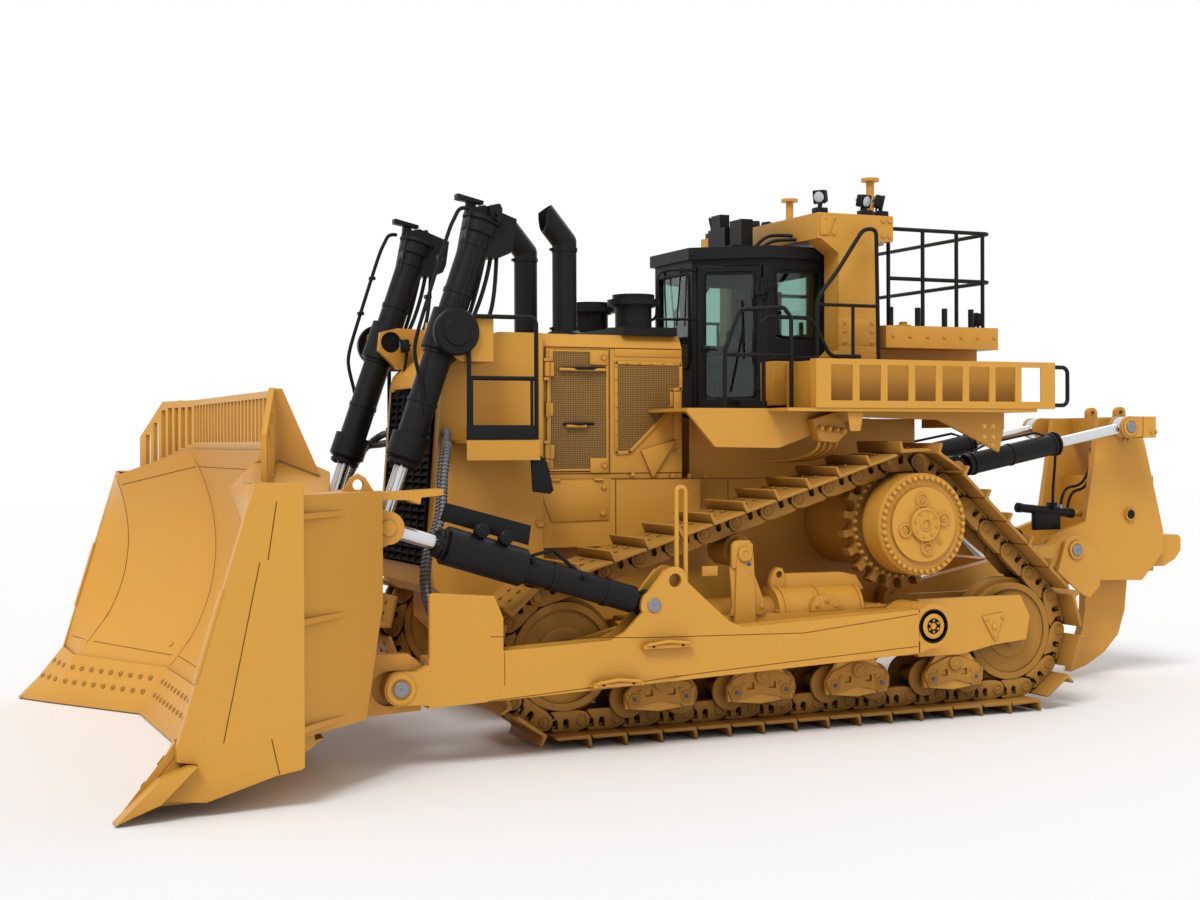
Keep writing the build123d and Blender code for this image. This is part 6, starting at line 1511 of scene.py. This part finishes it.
# Recoil housing and its lifting lug.
lug = plate([(-67, 1190), (-67, 1275), (-100, 1350), (-136, 1381), (-180, 1376), (-205, 1331), (-247, 1269),
             (-262, 1190)], 1440, 1510, edge=8)
cut(lug, copies(turned([(-90, 30), (90, 30)], 24), [at((-150, 1475, 1318))]))
parts.append(lug)
parts.append(plate([(-210, 1326), (-784, 1320), (-928, 1290), (-1000, 1180), (-1000, 1150), (-210, 1150)],
                   1430, 1520, edge=12))
parts.append(block((-1160, -52), (1300, 1640), (1000, 1026), edge=6))
parts.append(plate([(-362, 1000), (-372, 1060), (-419, 1128), (-531, 1146), (-643, 1086), (-690, 1040),
                    (-699, 1000)], 1640, 1690, edge=10))
for x, z in ((-427, 1051), (-522, 1091), (-620, 1045)):
    parts.append(copies(bolt_head(15, 12, 24), [at((x, 1690, z))]))
for n in range(6):
    x = -110 - n * 200
    parts.append(copies(bolt_head(14, 12, 22), [at((x, 1610, 1024), (0, 0, 1))]))
for x in (-900, -500, -140):
    parts.append(copies(turned([(-14, 216), (-14, 226), (14, 226), (14, 216)], 40),
                        [at((x, HALF_GAUGE, 1000), (1, 0, 0))]))
# Three-cornered cover on the rear yoke.
cover = plate([(-2110, 890), (-2120, 860), (-2240, 664), (-2262, 664), (-2346, 900), (-2330, 918)], 1748,
              1764, edge=6)
parts.append(cover)
for x, z in ((-2156, 860), (-2318, 876), (-2244, 712)):
    parts.append(copies(bolt_head(13, 11, 20), [at((x, 1762, z))]))
parts.append(copies(turned([(-4, 30), (10, 30), (13, 22)], 20), [at((-2238, 1764, 800))]))
# Small plate with four bolts on the outer yoke.
parts.append(block((555, 705), (1690, 1708), (1345, 1430), edge=5))
frame_parts = both_sides(joined(parts))
done(frame_parts, "roller_frame_details", "tractor", yellow)

# %% Bogie plates: a boss over each roller, square windows and a pivot pin
plates = []
for first, second in zip(ROLLERS_X[0::2], ROLLERS_X[1::2]):
    middle = (first + second) / 2
    outline = (
        [(first + 90, ROLLER_Z + 50), (first + 40, ROLLER_Z - 70), (first - 70, ROLLER_Z - 60),
         (middle, ROLLER_Z - 20)]
        + [(second + 70, ROLLER_Z - 60), (second - 40, ROLLER_Z - 70), (second - 90, ROLLER_Z + 50),
           (second - 20, ROLLER_Z + 120),
           (middle - 60, ROLLER_Z + 190), (middle + 60, ROLLER_Z + 190), (first + 20, ROLLER_Z + 120)]
    )
    piece = plate(outline, 1718, 1742, edge=8)
    for x in (middle - 105, middle + 105):
        cut(piece, block((x - 34, x + 34), (1700, 1760), (ROLLER_Z + 20, ROLLER_Z + 78), edge=8))
    plates.append(piece)
    plates.append(copies(turned([(-4, 62), (22, 60), (28, 52), (28, 30), (34, 28), (34, 10)], 28),
                         [at((middle, 1740, ROLLER_Z + 128))]))
    plates.append(copies(bolt_head(13, 11, 20),
                         [at((x + dx, 1740, ROLLER_Z + 62)) for x in (first, second) for dx in (-58, 58)]))
bogies = both_sides(joined(plates))
done(bogies, "bogie_plates", "tractor", shaded_track_yellow)

# %% Idler rims and hubs
rings = []
for x, z, radius in (FRONT_IDLER, REAR_IDLER):
    for side in SIDES:
        y = side * HALF_GAUGE
        for face in SIDES:
            out = (0, face, 0)
            rings.append(copies(turned([(120, 400), (132, 400), (136, 392), (136, 372), (130, 364)], 64),
                                [at((x, y, z), out)]))
            rings.append(copies(turned([(110, 250), (140, 240), (148, 210), (148, 130)], 48),
                                [at((x, y, z), out)]))
done(joined(rings), "idler_rims", "tractor", shaded_track_yellow)

# %% [markdown]
# ## Ripper
# The ripper's beam carries a pin puller for the shank: a short black cylinder on a yellow shaft, with
# hose loops and bright fittings. Pins show as grey discs, and bolts mark how the frame is put
# together.

# %% Pins, bolts and holes
RIPPER_TOP, RIPPER_REAR = (-2540, 2210), (-4640, 2610)
frame_shell = surface_of("ripper_frame", "ripper_shank")
OUTBOARD = 1500


def on_side(x, z, side):
    """Where the ripper frame's outer side is at a place in the side view."""
    place, _ = hit(frame_shell, (x, side * OUTBOARD, z), (0, -side, 0))
    return at(tuple(place), (0, side, 0))


parts, rims, dots = [], [], []
for side in SIDES:
    disc = turned([(-12, 60), (12, 60), (17, 54), (17, 14), (13, 12)], 28)
    parts.append(copies(disc, [on_side(-4640, 2610, side), on_side(-3988, 1381, side)]))
    retainer = turned([(-6, 92), (7, 92), (11, 86), (11, 66), (6, 62)], 32)
    rims.append(copies(retainer, [on_side(-4640, 2610, side), on_side(-3988, 1381, side)]))
    # Painted shade: the small dots and the larger hole are black discs standing in for the shade inside holes
    # in the frame.
    dot = turned([(-6, 16), (5, 15), (7, 10)], 14)
    dots.append(copies(dot, [on_side(x, z, side) for x in (-4512, -4566) for z in (1284, 1222)]))
    hole = turned([(-8, 48), (3, 48), (4, 40), (2, 38)], 28)
    dots.append(copies(hole, [on_side(-4967, 1707, side)]))
    rims.append(copies(bolt_head(14, 12, 22), [on_side(x, z, side) for x,
                                               z in ((-4900, 2560), (-4900, 2480), (-4960, 2560),
                                                     (-4960, 2480))]))
done(joined(parts), "ripper_pins", "ripper_frame", pin_steel)
done(joined(rims), "ripper_rims", "ripper_frame", yellow)
done(joined(dots), "ripper_holes", "ripper_frame", hole_shade_black)

# %% Pin puller with its hoses
PULLER_Y = 250
barrel = turned([(-8, 40), (0, 50), (40, 50), (44, 44), (650, 44), (654, 50), (700, 50), (706, 40)], 32)
parts = [copies(barrel, [at((-3654, PULLER_Y, 1796), (-703, 0, -75))]),
         block((-4179, -3853), (PULLER_Y - 34, PULLER_Y + 34), (1560, 1745), edge=10),
         block((-4120, -4060), (PULLER_Y - 60, PULLER_Y + 60), (1770, 1840), edge=8)]
for run in (((-4104, 1800), (-4096, 2050), (-4150, 2250), (-4131, 2400)),
            ((-4200, 1790), (-4230, 2020), (-4397, 1960), (-4560, 2080), (-4655, 2400)),
            ((-4290, 1780), (-4330, 1990), (-4480, 1900), (-4620, 2120), (-4600, 2400))):
    parts.append(tube([(x, PULLER_Y, z) for x, z in run], 15, order=4, rounds=2, steps=8))
done(joined(parts), "pin_puller", "ripper_frame", black)
shaft = turned([(0, 32), (310, 32)], 24)
done(copies(shaft, [at((-4340, PULLER_Y, 1722), (-300, 0, -17))]), "pin_puller_shaft", "ripper_frame",
     yellow)
nut = turned([(0, 22), (26, 22), (28, 26), (50, 26), (52, 20)], 12)
done(copies(nut, [at((x, PULLER_Y, z), (0, 0, 1)) for x,
                  z in ((-4104, 1770), (-4200, 1764), (-4131, 2350), (-4655, 2350))]),
     "hose_fittings", "ripper_frame", bright_steel)

# %% Cylinder bands
RIPPER_FOOT = (-3980, 1080)
UPPER_CYLINDER_Y, LOWER_CYLINDER_Y = 700, 470
parts = []
for side in SIDES:
    for distance, outer in ((1262, 122), (1216, 114), (700, 112), (240, 114)):
        parts.append(band(RIPPER_TOP, RIPPER_REAR, distance, side * UPPER_CYLINDER_Y,
                          56 if distance > 1250 else 104, outer, 26, 10 if distance > 1250 else 0, 10))
    parts.append(tube([(-2800, side * UPPER_CYLINDER_Y, 2380), (-2810, side * UPPER_CYLINDER_Y, 2425),
                       (-3300, side * UPPER_CYLINDER_Y, 2520), (-3640, side * UPPER_CYLINDER_Y, 2570),
                       (-3660, side * UPPER_CYLINDER_Y, 2520)], 14))
done(joined(parts), "upper_cylinder_bands", "ripper_links", black)
parts = []
for side in SIDES:
    for distance, outer in ((1162, 104), (1120, 96), (640, 96)):
        parts.append(band(RIPPER_TOP, RIPPER_FOOT, distance, side * LOWER_CYLINDER_Y,
                          51 if distance > 1150 else 87, outer, 24, 8 if distance > 1150 else 0, 9))
done(joined(parts), "lower_cylinder_bands", "ripper_lift_barrels", black)

# %% Measure and finish
low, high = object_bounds()
